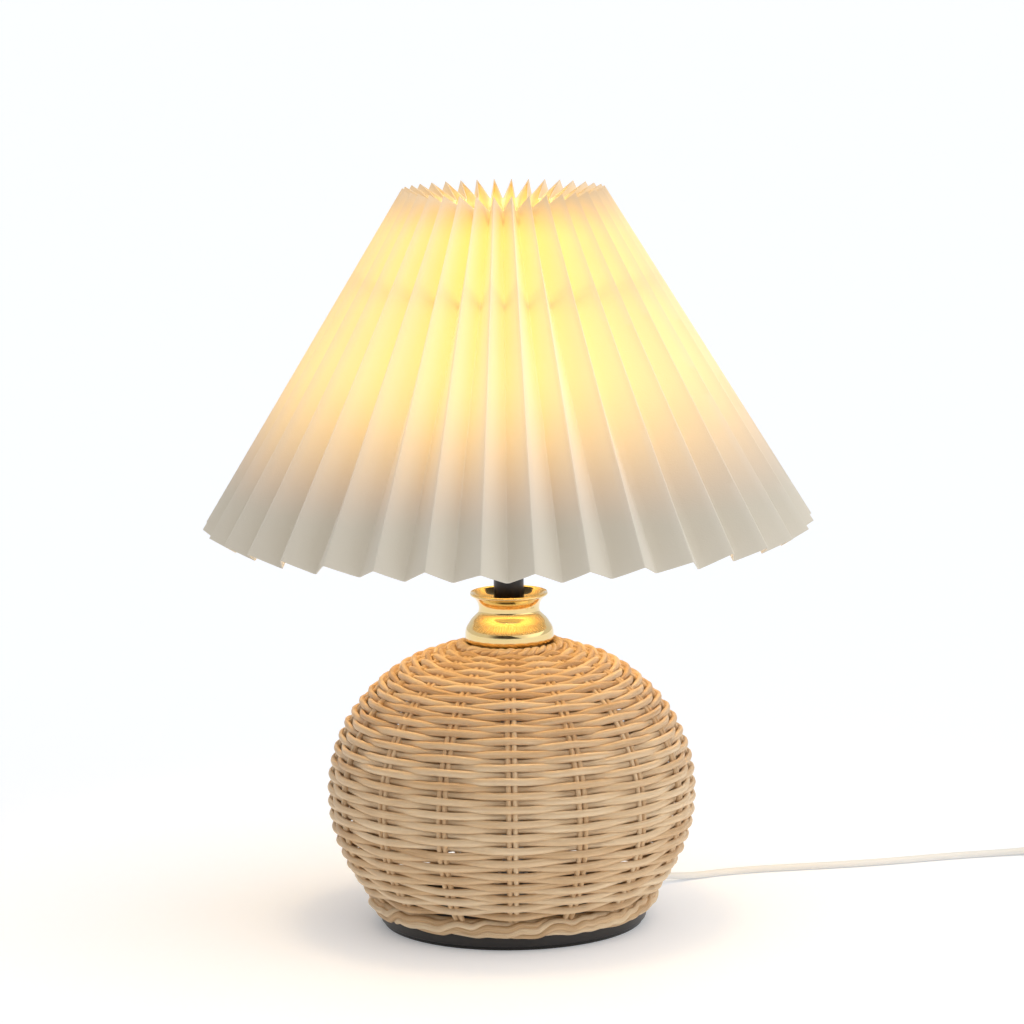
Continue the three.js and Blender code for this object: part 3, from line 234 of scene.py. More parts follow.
def loft(name, rings, closed=False):
    """A closed body through rings of points that all have the same number of points."""
    sides = len(rings[0])
    verts = [tuple(p) for ring in rings for p in ring]
    faces = []
    count = len(rings)
    for i in range(count if closed else count - 1):
        for k in range(sides):
            a, b = i * sides + k, i * sides + (k + 1) % sides
            c, d = ((i + 1) % count) * sides + (k + 1) % sides, ((i + 1) % count) * sides + k
            faces.append((a, b, c, d))
    if not closed:
        faces.append(tuple(range(sides))[::-1])
        faces.append(tuple((count - 1) * sides + k for k in range(sides)))
    mesh = bpy.data.meshes.new(name)
    mesh.from_pydata(verts, [], faces)
    return mesh


def finished(name, mesh, material, body="root", smooth_angle=40):
    """The mesh as a piece of that material on that body, outward-facing and smooth but for its edges."""
    build = bmesh.new()
    build.from_mesh(mesh)
    bmesh.ops.remove_doubles(build, verts=build.verts, dist=1e-7)
    bmesh.ops.recalc_face_normals(build, faces=build.faces)
    build.to_mesh(mesh)
    build.free()
    mesh.polygons.foreach_set("use_smooth", [True] * len(mesh.polygons))
    mesh.set_sharp_from_angle(angle=math.radians(smooth_angle))
    mesh.materials.clear()
    mesh.materials.append(material)
    piece = bpy.data.objects.new(name, mesh)
    bpy.context.collection.objects.link(piece)
    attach(piece, body)
    return piece


def surface(name, color, roughness, metallic=0.0):
    """A new material and its shader, with those plain values."""
    material = bpy.data.materials.new(name)
    material.use_nodes = True
    shader = material.node_tree.nodes["Principled BSDF"]
    shader.inputs["Base Color"].default_value = (*color, 1)
    shader.inputs["Roughness"].default_value = roughness
    shader.inputs["Metallic"].default_value = metallic
    return material, shader


def handling_marks():
    """Shader group: a slow cloud that moves roughness about a middle value, and a fine grain height."""
    group = bpy.data.node_groups.new("handling_marks", "ShaderNodeTree")
    face = group.interface
    for name, value in (("Cloud Scale", 20.0), ("Grain Scale", 900.0), ("Roughness", 0.4), ("Swing", 0.1)):
        face.new_socket(name, in_out="INPUT", socket_type="NodeSocketFloat").default_value = value
    for name in ("Roughness", "Grain"):
        face.new_socket(name, in_out="OUTPUT", socket_type="NodeSocketFloat")
    nodes, links = group.nodes, group.links
    start, end = nodes.new("NodeGroupInput"), nodes.new("NodeGroupOutput")
    place = nodes.new("ShaderNodeTexCoord")
    cloud, grain = nodes.new("ShaderNodeTexNoise"), nodes.new("ShaderNodeTexNoise")
    for texture, scale in ((cloud, "Cloud Scale"), (grain, "Grain Scale")):
        links.new(place.outputs["Object"], texture.inputs["Vector"])
        links.new(start.outputs[scale], texture.inputs["Scale"])
    centred = nodes.new("ShaderNodeMath")
    centred.operation = "SUBTRACT"
    centred.inputs[1].default_value = 0.5
    links.new(cloud.outputs["Fac"], centred.inputs[0])
    moved = nodes.new("ShaderNodeMath")
    moved.operation = "MULTIPLY_ADD"
    links.new(centred.outputs[0], moved.inputs[0])
    links.new(start.outputs["Swing"], moved.inputs[1])
    links.new(start.outputs["Roughness"], moved.inputs[2])
    links.new(moved.outputs[0], end.inputs["Roughness"])
    links.new(grain.outputs["Fac"], end.inputs["Grain"])
    return group


marks_group = handling_marks()


def add_marks(material, shader, roughness, swing=0.12, cloud=25.0, grain=900.0, height=0.00002):
    """Puts the handling marks on a material: roughness that drifts, and a faint moulded grain."""
    nodes, links = material.node_tree.nodes, material.node_tree.links
    marks = nodes.new("ShaderNodeGroup")
    marks.node_tree = marks_group
    for name, value in (("Cloud Scale", cloud), ("Grain Scale", grain), ("Roughness", roughness),
                        ("Swing", swing)):
        marks.inputs[name].default_value = value
    bump = nodes.new("ShaderNodeBump")
    bump.inputs["Distance"].default_value = height
    bump.inputs["Strength"].default_value = 1.0
    links.new(marks.outputs["Roughness"], shader.inputs["Roughness"])
    links.new(marks.outputs["Grain"], bump.inputs["Height"])
    links.new(bump.outputs["Normal"], shader.inputs["Normal"])


def marked(name, color, roughness, metallic=0.0, **marks):
    """A surface with handling marks about that roughness, and its shader."""
    material, shader = surface(name, color, roughness, metallic)
    add_marks(material, shader, roughness, **marks)
    return material, shader


pvc, pvc_shader = marked("white_pvc", (0.82, 0.81, 0.78), 0.42)
pvc_shader.inputs["Subsurface Weight"].default_value = 0.15
pvc_shader.inputs["Subsurface Scale"].default_value = 0.002
pvc_shader.inputs["Subsurface Radius"].default_value = (1.0, 0.9, 0.8)

lead_line = smooth_run(run_to_switch, 0.004)
lead_line += smooth_run([run_to_switch[-1], run_to_coil[0]], 0.01)[1:-1]
lead_line += smooth_run(run_to_coil + coil_run() + run_to_plug, 0.004)
lead_rings = []
for i, point in enumerate(lead_line):
    along = (lead_line[min(i + 1, len(lead_line) - 1)] - lead_line[max(i - 1, 0)]).normalized()
    across = Vector((0, 0, 1)).cross(along).normalized()
    up = along.cross(across)
    lead_rings.append(
        [point + across * x + up * y for x, y in flat_section(lead_width, lead_thickness, lead_rounding)]
    )
lead = finished("mains_lead", loft("mains_lead", lead_rings), pvc)
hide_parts("cord_to_switch", "cord_to_coil", "cord_to_plug", "cord_coil")
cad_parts["inner_lead"].data.materials[0] = pvc

# ---------------------------------------------------------------------------------------------
# Strain relief: tapered PVC sleeve moulded on the lead, with grooves that let it bend. Its root
# is clipped into the pocket in the base's rim.
# ---------------------------------------------------------------------------------------------
relief_angle = math.radians(40)
relief_height = lead_exit[2]
relief_start, relief_end = 0.0576, 0.0835
relief_collar_end = 0.0632
relief_root_size, relief_tip_size = (0.009, 0.0044), (0.0064, 0.0039)
relief_groove_pitch = 0.0023
relief_groove_depth = 0.14

outward = Vector((math.cos(relief_angle), math.sin(relief_angle), 0))
sideways = Vector((-math.sin(relief_angle), math.cos(relief_angle), 0))
relief_rings = []
relief_steps = 90
for i in range(relief_steps + 1):
    distance = relief_start + (relief_end - relief_start) * i / relief_steps
    share = rising_step(distance, relief_start, relief_end)
    width, thickness = (a + (b - a) * share for a, b in zip(relief_root_size, relief_tip_size))
    if distance > relief_collar_end and i < relief_steps - 4:
        wave = math.cos(2 * math.pi * (distance - relief_collar_end) / relief_groove_pitch)
        narrow = 1 - relief_groove_depth * max(0, -wave) ** 0.5
    else:
        narrow = 1
    centre = outward * distance + Vector((0, 0, relief_height))
    relief_rings.append(
        [centre + sideways * x * narrow + Vector((0, 0, y * (0.6 + 0.4 * narrow)))
         for x, y in flat_section(width, thickness, lead_rounding)]
    )
relief = finished("strain_relief_sleeve", loft("strain_relief_sleeve", relief_rings), pvc)
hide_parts("strain_relief")

# ---------------------------------------------------------------------------------------------
# Base: a felt pad under a turned steel disc in satin black, with a bead-rolled edge, and the
# zinc-plated flange, screws and nut that hold the threaded tube upright inside the ball.
# ---------------------------------------------------------------------------------------------
black_paint, black_paint_shader = marked("satin_black_paint", (0.010, 0.0065, 0.0045), 0.42, cloud=30,
                                         grain=700)
black_paint_shader.inputs["Coat Weight"].default_value = 0.1
black_paint_shader.inputs["Coat Roughness"].default_value = 0.3
felt, felt_shader = marked("black_felt", (0.02, 0.018, 0.016), 0.95, swing=0.04, grain=1600, height=0.0002)
felt_shader.inputs["Sheen Weight"].default_value = 0.4
zinc = marked("zinc_plate", (0.55, 0.56, 0.58), 0.34, 1.0, cloud=120, grain=1200)[0]


def turned(name, profile, segments=96):
    """A turned body from its closed profile, as (radius, height) points; radius 0 is on the axis."""
    verts, rows = [], []
    for radius, height in profile:
        if radius < 1e-9:
            rows.append([len(verts)] * segments)
            verts.append((0, 0, height))
            continue
        rows.append(list(range(len(verts), len(verts) + segments)))
        for k in range(segments):
            angle = 2 * math.pi * k / segments
            verts.append((radius * math.cos(angle), radius * math.sin(angle), height))
    faces = []
    for i, row in enumerate(rows):
        above = rows[(i + 1) % len(rows)]
        for k in range(segments):
            n = (k + 1) % segments
            corners = [row[k], row[n], above[n], above[k]]
            corners = [c for j, c in enumerate(corners) if c not in corners[:j]]
            if len(corners) > 2:
                faces.append(corners)
    mesh = bpy.data.meshes.new(name)
    mesh.from_pydata(verts, [], faces)
    return mesh


def rounded_profile(points, radii, steps=5):
    """The closed profile with each corner rounded to its radius, where 0 leaves it sharp."""
    outline = []
    for i, (point, radius) in enumerate(zip(points, radii)):
        corner = Vector(point)
        before, after = Vector(points[i - 1]) - corner, Vector(points[(i + 1) % len(points)]) - corner
        if radius <= 0:
            outline.append(tuple(corner))
            continue
        half = before.angle(after) / 2
        reach = min(radius / math.tan(half), 0.48 * before.length, 0.48 * after.length)
        start, end = corner + before.normalized() * reach, corner + after.normalized() * reach
        for k in range(steps + 1):
            t = k / steps
            outline.append(tuple(start * (1 - t) ** 2 + corner * 2 * t * (1 - t) + end * t * t))
    return outline


plate_low, plate_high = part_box("base_plate")
plate_radius = plate_high.x
plate_bottom, plate_top = plate_low.z, plate_high.z
plate_hole = 0.009
plate_edge = 0.0016
plate_profile = rounded_profile(
    [(plate_hole, plate_bottom), (plate_radius, plate_bottom), (plate_radius, plate_top),
     (plate_hole, plate_top)],
    [0.0004, 0.0008, plate_edge, 0.0004],
)
base_disc = finished("base_disc", turned("base_disc", plate_profile, 160), black_paint, smooth_angle=50)
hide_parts("base_plate")

pad_low, pad_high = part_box("base_pad")
pad = finished(
    "felt_pad",
    turned("felt_pad", rounded_profile(
        [(0, pad_low.z), (pad_high.x, pad_low.z), (pad_high.x, plate_bottom), (0, plate_bottom)],
        [0, 0.0004, 0.0003, 0]), 128),
    felt,
)
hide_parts("base_pad")

for name in ("base_flange", "base_lock_nut", "threaded_tube", "top_disc_lower_nut", "top_disc_washer",
             "top_disc_nut", "neck_washer"):
    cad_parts[name].data.materials[0] = zinc
for i in (1, 2, 3):
    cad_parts[f"flange_screw_{i}"].data.materials[0] = zinc

# ---------------------------------------------------------------------------------------------
# Top disc: a sanded wooden disc inside the ball's top opening. The ball is clamped by it.
# ---------------------------------------------------------------------------------------------
plywood = marked("sanded_plywood", (0.42, 0.27, 0.13), 0.6, cloud=60, grain=500, height=0.0001)[0]
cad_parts["top_disc"].data.materials[0] = plywood

# ---------------------------------------------------------------------------------------------
# Rattan: peeled round cane, unvarnished. Fine streaks run along each strand, strands differ in
# tone, and a few brown patches show where the skin was.
# ---------------------------------------------------------------------------------------------
cane_dark, cane_mid, cane_pale = (0.38, 0.205, 0.085), (0.72, 0.49, 0.275), (0.90, 0.71, 0.48)


def cane_fibre():
    """Shader group: tone and streak height along a strand, from its length, girth and number."""
    group = bpy.data.node_groups.new("cane_fibre", "ShaderNodeTree")
    face = group.interface
    for name, value in (("Along", 0.0), ("Around", 0.0), ("Strand", 0.0), ("Streak Length", 70.0),
                        ("Streak Fineness", 4.6), ("Strand Contrast", 0.5)):
        face.new_socket(name, in_out="INPUT", socket_type="NodeSocketFloat").default_value = value
    for name in ("Tone", "Streaks"):
        face.new_socket(name, in_out="OUTPUT", socket_type="NodeSocketFloat")
    nodes, links = group.nodes, group.links
    start, end = nodes.new("NodeGroupInput"), nodes.new("NodeGroupOutput")

    def calc(operation, *sources):
        node = nodes.new("ShaderNodeMath")
        node.operation = operation
        for i, source in enumerate(sources):
            if isinstance(source, (int, float)):
                node.inputs[i].default_value = source
            else:
                links.new(source, node.inputs[i])
        return node.outputs[0]

    def cloud(x, y, z, scale, detail):
        point, noise_node = nodes.new("ShaderNodeCombineXYZ"), nodes.new("ShaderNodeTexNoise")
        for i, source in enumerate((x, y, z)):
            links.new(source, point.inputs[i])
        links.new(point.outputs[0], noise_node.inputs["Vector"])
        noise_node.inputs["Scale"].default_value = scale
        noise_node.inputs["Detail"].default_value = detail
        return noise_node.outputs["Fac"]

    turn = calc("MULTIPLY", start.outputs["Around"], 2 * math.pi)
    shift = calc("MULTIPLY", start.outputs["Strand"], 17.31)
    along = calc("MULTIPLY_ADD", start.outputs["Along"], start.outputs["Streak Length"], shift)
    side = calc("MULTIPLY", calc("COSINE", turn), start.outputs["Streak Fineness"])
    rise = calc("MULTIPLY", calc("SINE", turn), start.outputs["Streak Fineness"])
    streaks = cloud(along, side, rise, 2.2, 3.0)
    patches = cloud(calc("MULTIPLY", along, 0.35), calc("MULTIPLY", side, 0.08), shift, 1.6, 1.0)
    own = calc("FRACT", calc("MULTIPLY", calc("SINE", calc("MULTIPLY", start.outputs["Strand"], 12.9898)),
                             437.585))
    spread = calc("MULTIPLY", calc("SUBTRACT", own, 0.5), start.outputs["Strand Contrast"])
    tone = calc("ADD", calc("MULTIPLY_ADD", streaks, 0.75, calc("MULTIPLY", patches, 0.75)), spread)
    links.new(calc("SUBTRACT", tone, 0.15), end.inputs["Tone"])
    links.new(streaks, end.inputs["Streaks"])
    return group


def cane_material(name, contrast):
    """Rattan that reads the strand's own length, girth and number from the mesh."""
    material, shader = surface(name, cane_mid, 0.5)
    nodes, links = material.node_tree.nodes, material.node_tree.links
    fibre = nodes.new("ShaderNodeGroup")
    fibre.node_tree = cane_fibre_group
    fibre.inputs["Strand Contrast"].default_value = contrast
    for label, attribute in (("Along", "along"), ("Around", "around"), ("Strand", "strand")):
        kept = nodes.new("ShaderNodeAttribute")
        kept.attribute_name = attribute
        links.new(kept.outputs["Fac"], fibre.inputs[label])
    ramp = nodes.new("ShaderNodeValToRGB")
    for position, color in ((0.0, cane_dark), (0.45, cane_mid), (0.95, cane_pale)):
        stop = ramp.color_ramp.elements.new(position)
        stop.color = (*color, 1)
    ramp.color_ramp.elements.remove(ramp.color_ramp.elements[-1])
    ramp.color_ramp.elements.remove(ramp.color_ramp.elements[0])
    links.new(fibre.outputs["Tone"], ramp.inputs["Fac"])
    links.new(ramp.outputs["Color"], shader.inputs["Base Color"])
    bump = nodes.new("ShaderNodeBump")
    bump.inputs["Distance"].default_value = 0.0004
    bump.inputs["Strength"].default_value = 0.8
    links.new(fibre.outputs["Streaks"], bump.inputs["Height"])
    links.new(bump.outputs["Normal"], shader.inputs["Normal"])
    shader.inputs["Specular IOR Level"].default_value = 0.35
    return material


cane_fibre_group = cane_fibre()
rattan = cane_material("peeled_rattan", 0.42)

# ---------------------------------------------------------------------------------------------
# Woven ball: one strand a row goes over one pair of stakes and under the next, and the row
# above goes the other way, so the pairs show between every other row.
# ---------------------------------------------------------------------------------------------
ball_radius = 0.085
ball_half_height = 0.0708
ball_squareness = 2.4
ball_foot_radius = 0.0615
ball_foot = plate_top + 0.0003
ball_centre = ball_foot + ball_half_height * math.sqrt(
    1 - (ball_foot_radius / ball_radius) ** ball_squareness)
stake_pairs = 16
strand_radius = 0.00132
strand_flatness = 1.36
stake_radius = 0.00128
stake_pair_gap = 0.00142
weave_depth = 0.00165
weave_inset = strand_radius + weave_depth - 0.0001
weave_rows = 48
strand_sides = 8
strand_samples = 144


def ball_line(foot_z, top_radius, inset, count):
    """The ball's outline from foot_z up to top_radius, set in from the outside, evenly spaced."""
    low = math.asin((foot_z - ball_centre) / ball_half_height)
    high = math.acos((top_radius / ball_radius) ** (ball_squareness / 2))
    line = []
    for i in range(count + 1):
        latitude = low + (high - low) * i / count
        radius = ball_radius * math.cos(latitude) ** (2 / ball_squareness)
        slope = (2 / ball_squareness) * radius * math.tan(latitude)
        normal = Vector((ball_half_height * math.cos(latitude), slope)).normalized()
        line.append((radius - inset * normal.x, 0,
                     ball_centre + ball_half_height * math.sin(latitude) - inset * normal.y))
    return line


def new_graph(name, inputs):
    """An empty geometry node tree with those named inputs, and its start and end nodes."""
    graph = bpy.data.node_groups.new(name, "GeometryNodeTree")
    graph.interface.new_socket("Geometry", in_out="INPUT", socket_type="NodeSocketGeometry")
    for label, kind in inputs.items():
        graph.interface.new_socket(label, in_out="INPUT", socket_type="NodeSocket" + kind)
    graph.interface.new_socket("Geometry", in_out="OUTPUT", socket_type="NodeSocketGeometry")
    return graph, graph.nodes.new("NodeGroupInput").outputs, graph.nodes.new("NodeGroupOutput").inputs


def wire(graph, kind, sources=None, **settings):
    """Adds a node with those settings and feeds its inputs from sockets or plain values."""
    node = graph.nodes.new(kind)
    for label, value in settings.items():
        setattr(node, label, value)
    for label, source in (sources or {}).items():
        if isinstance(source, bpy.types.NodeSocket):
            graph.links.new(source, node.inputs[label])
        else:
            node.inputs[label].default_value = source
    return node.outputs


def figure(graph, operation, *sources):
    """The output of one Math node."""
    return wire(graph, "ShaderNodeMath", dict(enumerate(sources)), operation=operation)[0]


def noted(graph, geometry, label, value):
    """The geometry with a value kept on each point under that name."""
    return wire(graph, "GeometryNodeStoreNamedAttribute",
                {"Geometry": geometry, "Name": label, "Value": value})[0]


def read(graph, label):
    return wire(graph, "GeometryNodeInputNamedAttribute", {"Name": label}, data_type="FLOAT")[0]


def drift(graph, x, y, z, scale):
    """Smooth noise from -1 to 1 at a point."""
    point = wire(graph, "ShaderNodeCombineXYZ", {0: x, 1: y, 2: z})[0]
    raw = wire(graph, "ShaderNodeTexNoise", {"Vector": point, "Scale": scale, "Detail": 1.0})["Fac"]
    return figure(graph, "MULTIPLY_ADD", raw, 2.0, -1.0)


def strand_skin(graph, curve, radius, sides, scale, material, caps=False, tall=1.0):
    """Gives the curves a round or upright oval skin that knows how far along and around it each point is."""
    girth = wire(graph, "GeometryNodeCurvePrimitiveCircle", {"Resolution": sides, "Radius": radius})[0]
    oval = wire(graph, "ShaderNodeCombineXYZ", {0: 1.0, 1: tall, 2: 1.0})[0]
    girth = wire(graph, "GeometryNodeTransform", {"Geometry": girth, "Scale": oval})[0]
    girth = noted(graph, girth, "around", wire(graph, "GeometryNodeSplineParameter")["Factor"])
    skin = wire(graph, "GeometryNodeCurveToMesh",
                {"Curve": curve, "Profile Curve": girth, "Scale": scale, "Fill Caps": caps})[0]
    whole = wire(graph, "GeometryNodeRealizeInstances", {"Geometry": skin})[0]
    return wire(graph, "GeometryNodeSetMaterial", {"Geometry": whole, "Material": material})[0]


def grown(graph, name, values, line=()):
    """The plain mesh that a tree makes with those input values, on a line of points."""
    base = bpy.data.meshes.new(name + "_line")
    base.from_pydata(list(line), [(i, i + 1) for i in range(len(line) - 1)], [])
    holder = bpy.data.objects.new(name + "_line", base)
    bpy.context.collection.objects.link(holder)
    modifier = holder.modifiers.new("grow", "NODES")
    modifier.node_group = graph
    for item in graph.interface.items_tree:
        if item.in_out == "INPUT" and item.name in values:
            modifier[item.identifier] = values[item.name]
    bpy.context.view_layer.update()
    view = bpy.context.evaluated_depsgraph_get()
    mesh = bpy.data.meshes.new_from_object(holder.evaluated_get(view), preserve_all_data_layers=True,
                                           depsgraph=view)
    mesh.name = name
    holder.modifiers.remove(modifier)
    bpy.data.objects.remove(holder)
    return mesh


def unit_rings(graph, count, samples, first=0.0):
    """That many rings of radius 1, each numbered from the first."""
    places = wire(graph, "GeometryNodePoints", {"Count": count})[0]
    number = figure(graph, "ADD", wire(graph, "GeometryNodeInputIndex")[0], first)
    places = noted(graph, places, "strand", number)
    circle = wire(graph, "GeometryNodeCurvePrimitiveCircle", {"Resolution": samples, "Radius": 1.0})[0]
    rings = wire(graph, "GeometryNodeInstanceOnPoints", {"Points": places, "Instance": circle})[0]
    return wire(graph, "GeometryNodeRealizeInstances", {"Geometry": rings})[0]


def weaving_graph():
    """Rings of cane that follow the guide line's turned shape and weave in and out."""
    graph, given, made = new_graph("weaving", {
        "Rows": "Int", "Samples": "Int", "Stake Pairs": "Int", "Strand Radius": "Float",
        "Strand Sides": "Int", "Strand Height": "Float", "Weave Depth": "Float",
        "Full Depth Radius": "Float", "Wander": "Float",
        "Seed": "Float", "Material": "Material"})
    node, calc, note = partial(wire, graph), partial(figure, graph), partial(noted, graph)
    guide = node("GeometryNodeMeshToCurve", {"Mesh": given["Geometry"]})[0]
    rings = unit_rings(graph, given["Rows"], given["Samples"])
    at = node("ShaderNodeSeparateXYZ", {0: node("GeometryNodeInputPosition")[0]})
    row = read(graph, "strand")
    angle = calc("ARCTAN2", at[1], at[0])
    seeded = calc("ADD", row, given["Seed"])
    slow = drift(graph, at[0], at[1], calc("MULTIPLY", seeded, 0.9), 1.7)
    quick = drift(graph, at[0], at[1], calc("MULTIPLY", seeded, 7.7), 6.0)
    lift = calc("MULTIPLY", calc("MULTIPLY_ADD", quick, 0.45, slow), given["Wander"])
    share = calc("DIVIDE", calc("ADD", calc("ADD", row, 0.5), lift), given["Rows"])
    seen = node("GeometryNodeSampleCurve", {"Curves": guide, "Factor": share}, mode="FACTOR")
    spot = node("ShaderNodeSeparateXYZ", {0: seen["Position"]})
    lean = node("ShaderNodeSeparateXYZ", {0: seen["Tangent"]})
    swing = calc("MULTIPLY_ADD", angle, calc("DIVIDE", given["Stake Pairs"], 2.0),
                   calc("MULTIPLY", row, math.pi))
    wave = calc("COSINE", swing)
    room = calc("MINIMUM", calc("DIVIDE", spot[0], given["Full Depth Radius"]), 1.0)
    deep = calc("MULTIPLY", given["Weave Depth"], calc("MULTIPLY_ADD", room, 0.6, 0.4))
    behind = calc("MULTIPLY", calc("MINIMUM", wave, 0.0), -0.22)
    offset = calc("MULTIPLY", deep, calc("MULTIPLY_ADD", quick, 0.10, calc("ADD", wave, behind)))
    radius = calc("MULTIPLY_ADD", lean[2], offset, spot[0])
    height = calc("SUBTRACT", spot[2], calc("MULTIPLY", lean[0], offset))
    placed = node("ShaderNodeCombineXYZ", {
        0: calc("MULTIPLY", radius, at[0]), 1: calc("MULTIPLY", radius, at[1]), 2: height})[0]
    rings = note(rings, "along", calc("MULTIPLY", angle, 0.08))
    rings = note(rings, "thick", calc("MULTIPLY_ADD", quick, 0.10, calc("MULTIPLY_ADD", slow, 0.10, 1.0)))
    rings = node("GeometryNodeSetPosition", {"Geometry": rings, "Position": placed})[0]
    rings = node("GeometryNodeSetCurveNormal", {"Curve": rings}, mode="Z_UP")[0]
    graph.links.new(
        strand_skin(graph, rings, given["Strand Radius"], given["Strand Sides"], read(graph, "thick"),
                    given["Material"], tall=given["Strand Height"]),
        made["Geometry"])
    return graph


weave_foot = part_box("bottom_border")[1].z - 0.0008
weave_line = ball_line(weave_foot, 0.0215, weave_inset, 90)
weave = finished("woven_strands", grown(weaving_graph(), "woven_strands", {
    "Rows": weave_rows, "Samples": strand_samples, "Stake Pairs": stake_pairs, "Strand Radius": strand_radius,
    "Strand Sides": strand_sides, "Strand Height": strand_flatness, "Weave Depth": weave_depth,
    "Full Depth Radius": 0.07, "Wander": 0.24,
    "Seed": 3.0, "Material": rattan}, weave_line), rattan, smooth_angle=180)
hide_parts("woven_wall")


def stakes_graph():
    """Pairs of rods that stand side by side along the guide line, all the way round."""
    graph, given, made = new_graph("stakes", {
        "Stake Pairs": "Int", "Pair Gap": "Float", "Stake Radius": "Float", "Sides": "Int",
        "Material": "Material"})
    node, calc, note = partial(wire, graph), partial(figure, graph), partial(noted, graph)
    guide = node("GeometryNodeMeshToCurve", {"Mesh": given["Geometry"]})[0]
    guide = note(guide, "along", node("GeometryNodeSplineParameter")["Length"])
    count = calc("MULTIPLY", given["Stake Pairs"], 2.0)
    places = node("GeometryNodePoints", {"Count": count})[0]
    index = node("GeometryNodeInputIndex")[0]
    places = note(places, "strand", calc("ADD", index, 200.0))
    pair = calc("FLOOR", calc("DIVIDE", index, 2.0))
    side = calc("MULTIPLY_ADD", calc("MODULO", index, 2.0), 2.0, -1.0)
    angle = calc("DIVIDE", calc("MULTIPLY", pair, 2 * math.pi), given["Stake Pairs"])
    aside = calc("MULTIPLY", side, given["Pair Gap"])
    place = node("ShaderNodeCombineXYZ", {
        0: calc("MULTIPLY", calc("SINE", angle), calc("MULTIPLY", aside, -1.0)),
        1: calc("MULTIPLY", calc("COSINE", angle), aside)})[0]
    places = node("GeometryNodeSetPosition", {"Geometry": places, "Position": place})[0]
    turn = node("ShaderNodeCombineXYZ", {2: angle})[0]
    turn = node("FunctionNodeEulerToRotation", {0: turn})[0]
    rods = node("GeometryNodeInstanceOnPoints", {"Points": places, "Instance": guide, "Rotation": turn})[0]
    rods = node("GeometryNodeRealizeInstances", {"Geometry": rods})[0]
    graph.links.new(
        strand_skin(graph, rods, given["Stake Radius"], given["Sides"], 1.0, given["Material"], caps=True),
        made["Geometry"])
    return graph


stake_line = ball_line(ball_foot + 0.0025, 0.0205, weave_inset, 60)
stakes = finished("stake_rods", grown(stakes_graph(), "stake_rods", {
    "Stake Pairs": stake_pairs, "Pair Gap": stake_pair_gap, "Stake Radius": stake_radius, "Sides": 8,
    "Material": rattan}, stake_line), rattan, smooth_angle=60)
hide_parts("stake_cage")

# ---------------------------------------------------------------------------------------------
# Rolled borders: the stakes' ends are bent over and laid round the foot as a loose rope of cane,
# and a thinner one closes the ball round the neck.
# ---------------------------------------------------------------------------------------------
def border_graph():
    """Strands twisted round a ring that rises and falls a little."""
    graph, given, made = new_graph("rolled_border", {
        "Strands": "Int", "Samples": "Int", "Ring Radius": "Float", "Height": "Float", "Rope Radius": "Float",
        "Rope Flatness": "Float", "Twists": "Float", "Strand Radius": "Float", "Sides": "Int",
        "Wander": "Float", "Seed": "Float", "Rest Radius": "Float", "Rest Height": "Float",
        "Material": "Material"})
    node, calc, note = partial(wire, graph), partial(figure, graph), partial(noted, graph)
    rings = unit_rings(graph, given["Strands"], given["Samples"], given["Seed"])
    at = node("ShaderNodeSeparateXYZ", {0: node("GeometryNodeInputPosition")[0]})
    strand = read(graph, "strand")
    angle = calc("ARCTAN2", at[1], at[0])
    own = calc("DIVIDE", calc("MULTIPLY", calc("SUBTRACT", strand, given["Seed"]), 2 * math.pi),
                 given["Strands"])
    loose = drift(graph, at[0], at[1], calc("MULTIPLY", strand, 3.3), 2.6)
    sway = drift(graph, at[0], at[1], given["Seed"], 4.5)
    twist = calc("ADD", calc("MULTIPLY_ADD", angle, given["Twists"], own),
                   calc("MULTIPLY", sway, 1.3))
    reach = calc("MULTIPLY", given["Rope Radius"], calc("MULTIPLY_ADD", loose, 0.3, 1.0))
    radius = calc("MULTIPLY_ADD", calc("COSINE", twist), reach, given["Ring Radius"])
    rise = calc("MULTIPLY", calc("SINE", twist), calc("MULTIPLY", reach, given["Rope Flatness"]))
    height = calc("ADD", calc("ADD", given["Height"], rise), calc("MULTIPLY", sway, given["Wander"]))
    over_rest = node("ShaderNodeMapRange", {
        "Value": radius, "From Min": given["Rest Radius"],
        "From Max": calc("ADD", given["Rest Radius"], 0.0022),
        "To Min": given["Rest Height"], "To Max": calc("SUBTRACT", given["Rest Height"], 0.01)})["Result"]
    height = calc("MAXIMUM", height, over_rest)
    placed = node("ShaderNodeCombineXYZ", {
        0: calc("MULTIPLY", radius, at[0]), 1: calc("MULTIPLY", radius, at[1]), 2: height})[0]
    rings = note(rings, "along", calc("MULTIPLY", angle, 0.07))
    rings = note(rings, "thick", calc("MULTIPLY_ADD", loose, 0.14, 1.0))
    rings = node("GeometryNodeSetPosition", {"Geometry": rings, "Position": placed})[0]
    graph.links.new(
        strand_skin(graph, rings, given["Strand Radius"], given["Sides"], read(graph, "thick"),
                    given["Material"]),
        made["Geometry"])
    return graph


rolled_border = border_graph()
foot_strand_radius = 0.0016
foot_border = finished("foot_border", grown(rolled_border, "foot_border", {
    "Strands": 6, "Samples": 420, "Ring Radius": plate_radius + 0.0012, "Height": plate_top + 0.0026,
    "Rope Radius": 0.0030, "Rope Flatness": 0.9, "Twists": 3.0, "Strand Radius": foot_strand_radius,
    "Sides": 10, "Wander": 0.0016, "Seed": 41.0, "Rest Radius": plate_radius,
    "Rest Height": plate_top + foot_strand_radius,
    "Material": rattan}), rattan, smooth_angle=180)
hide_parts("bottom_border")

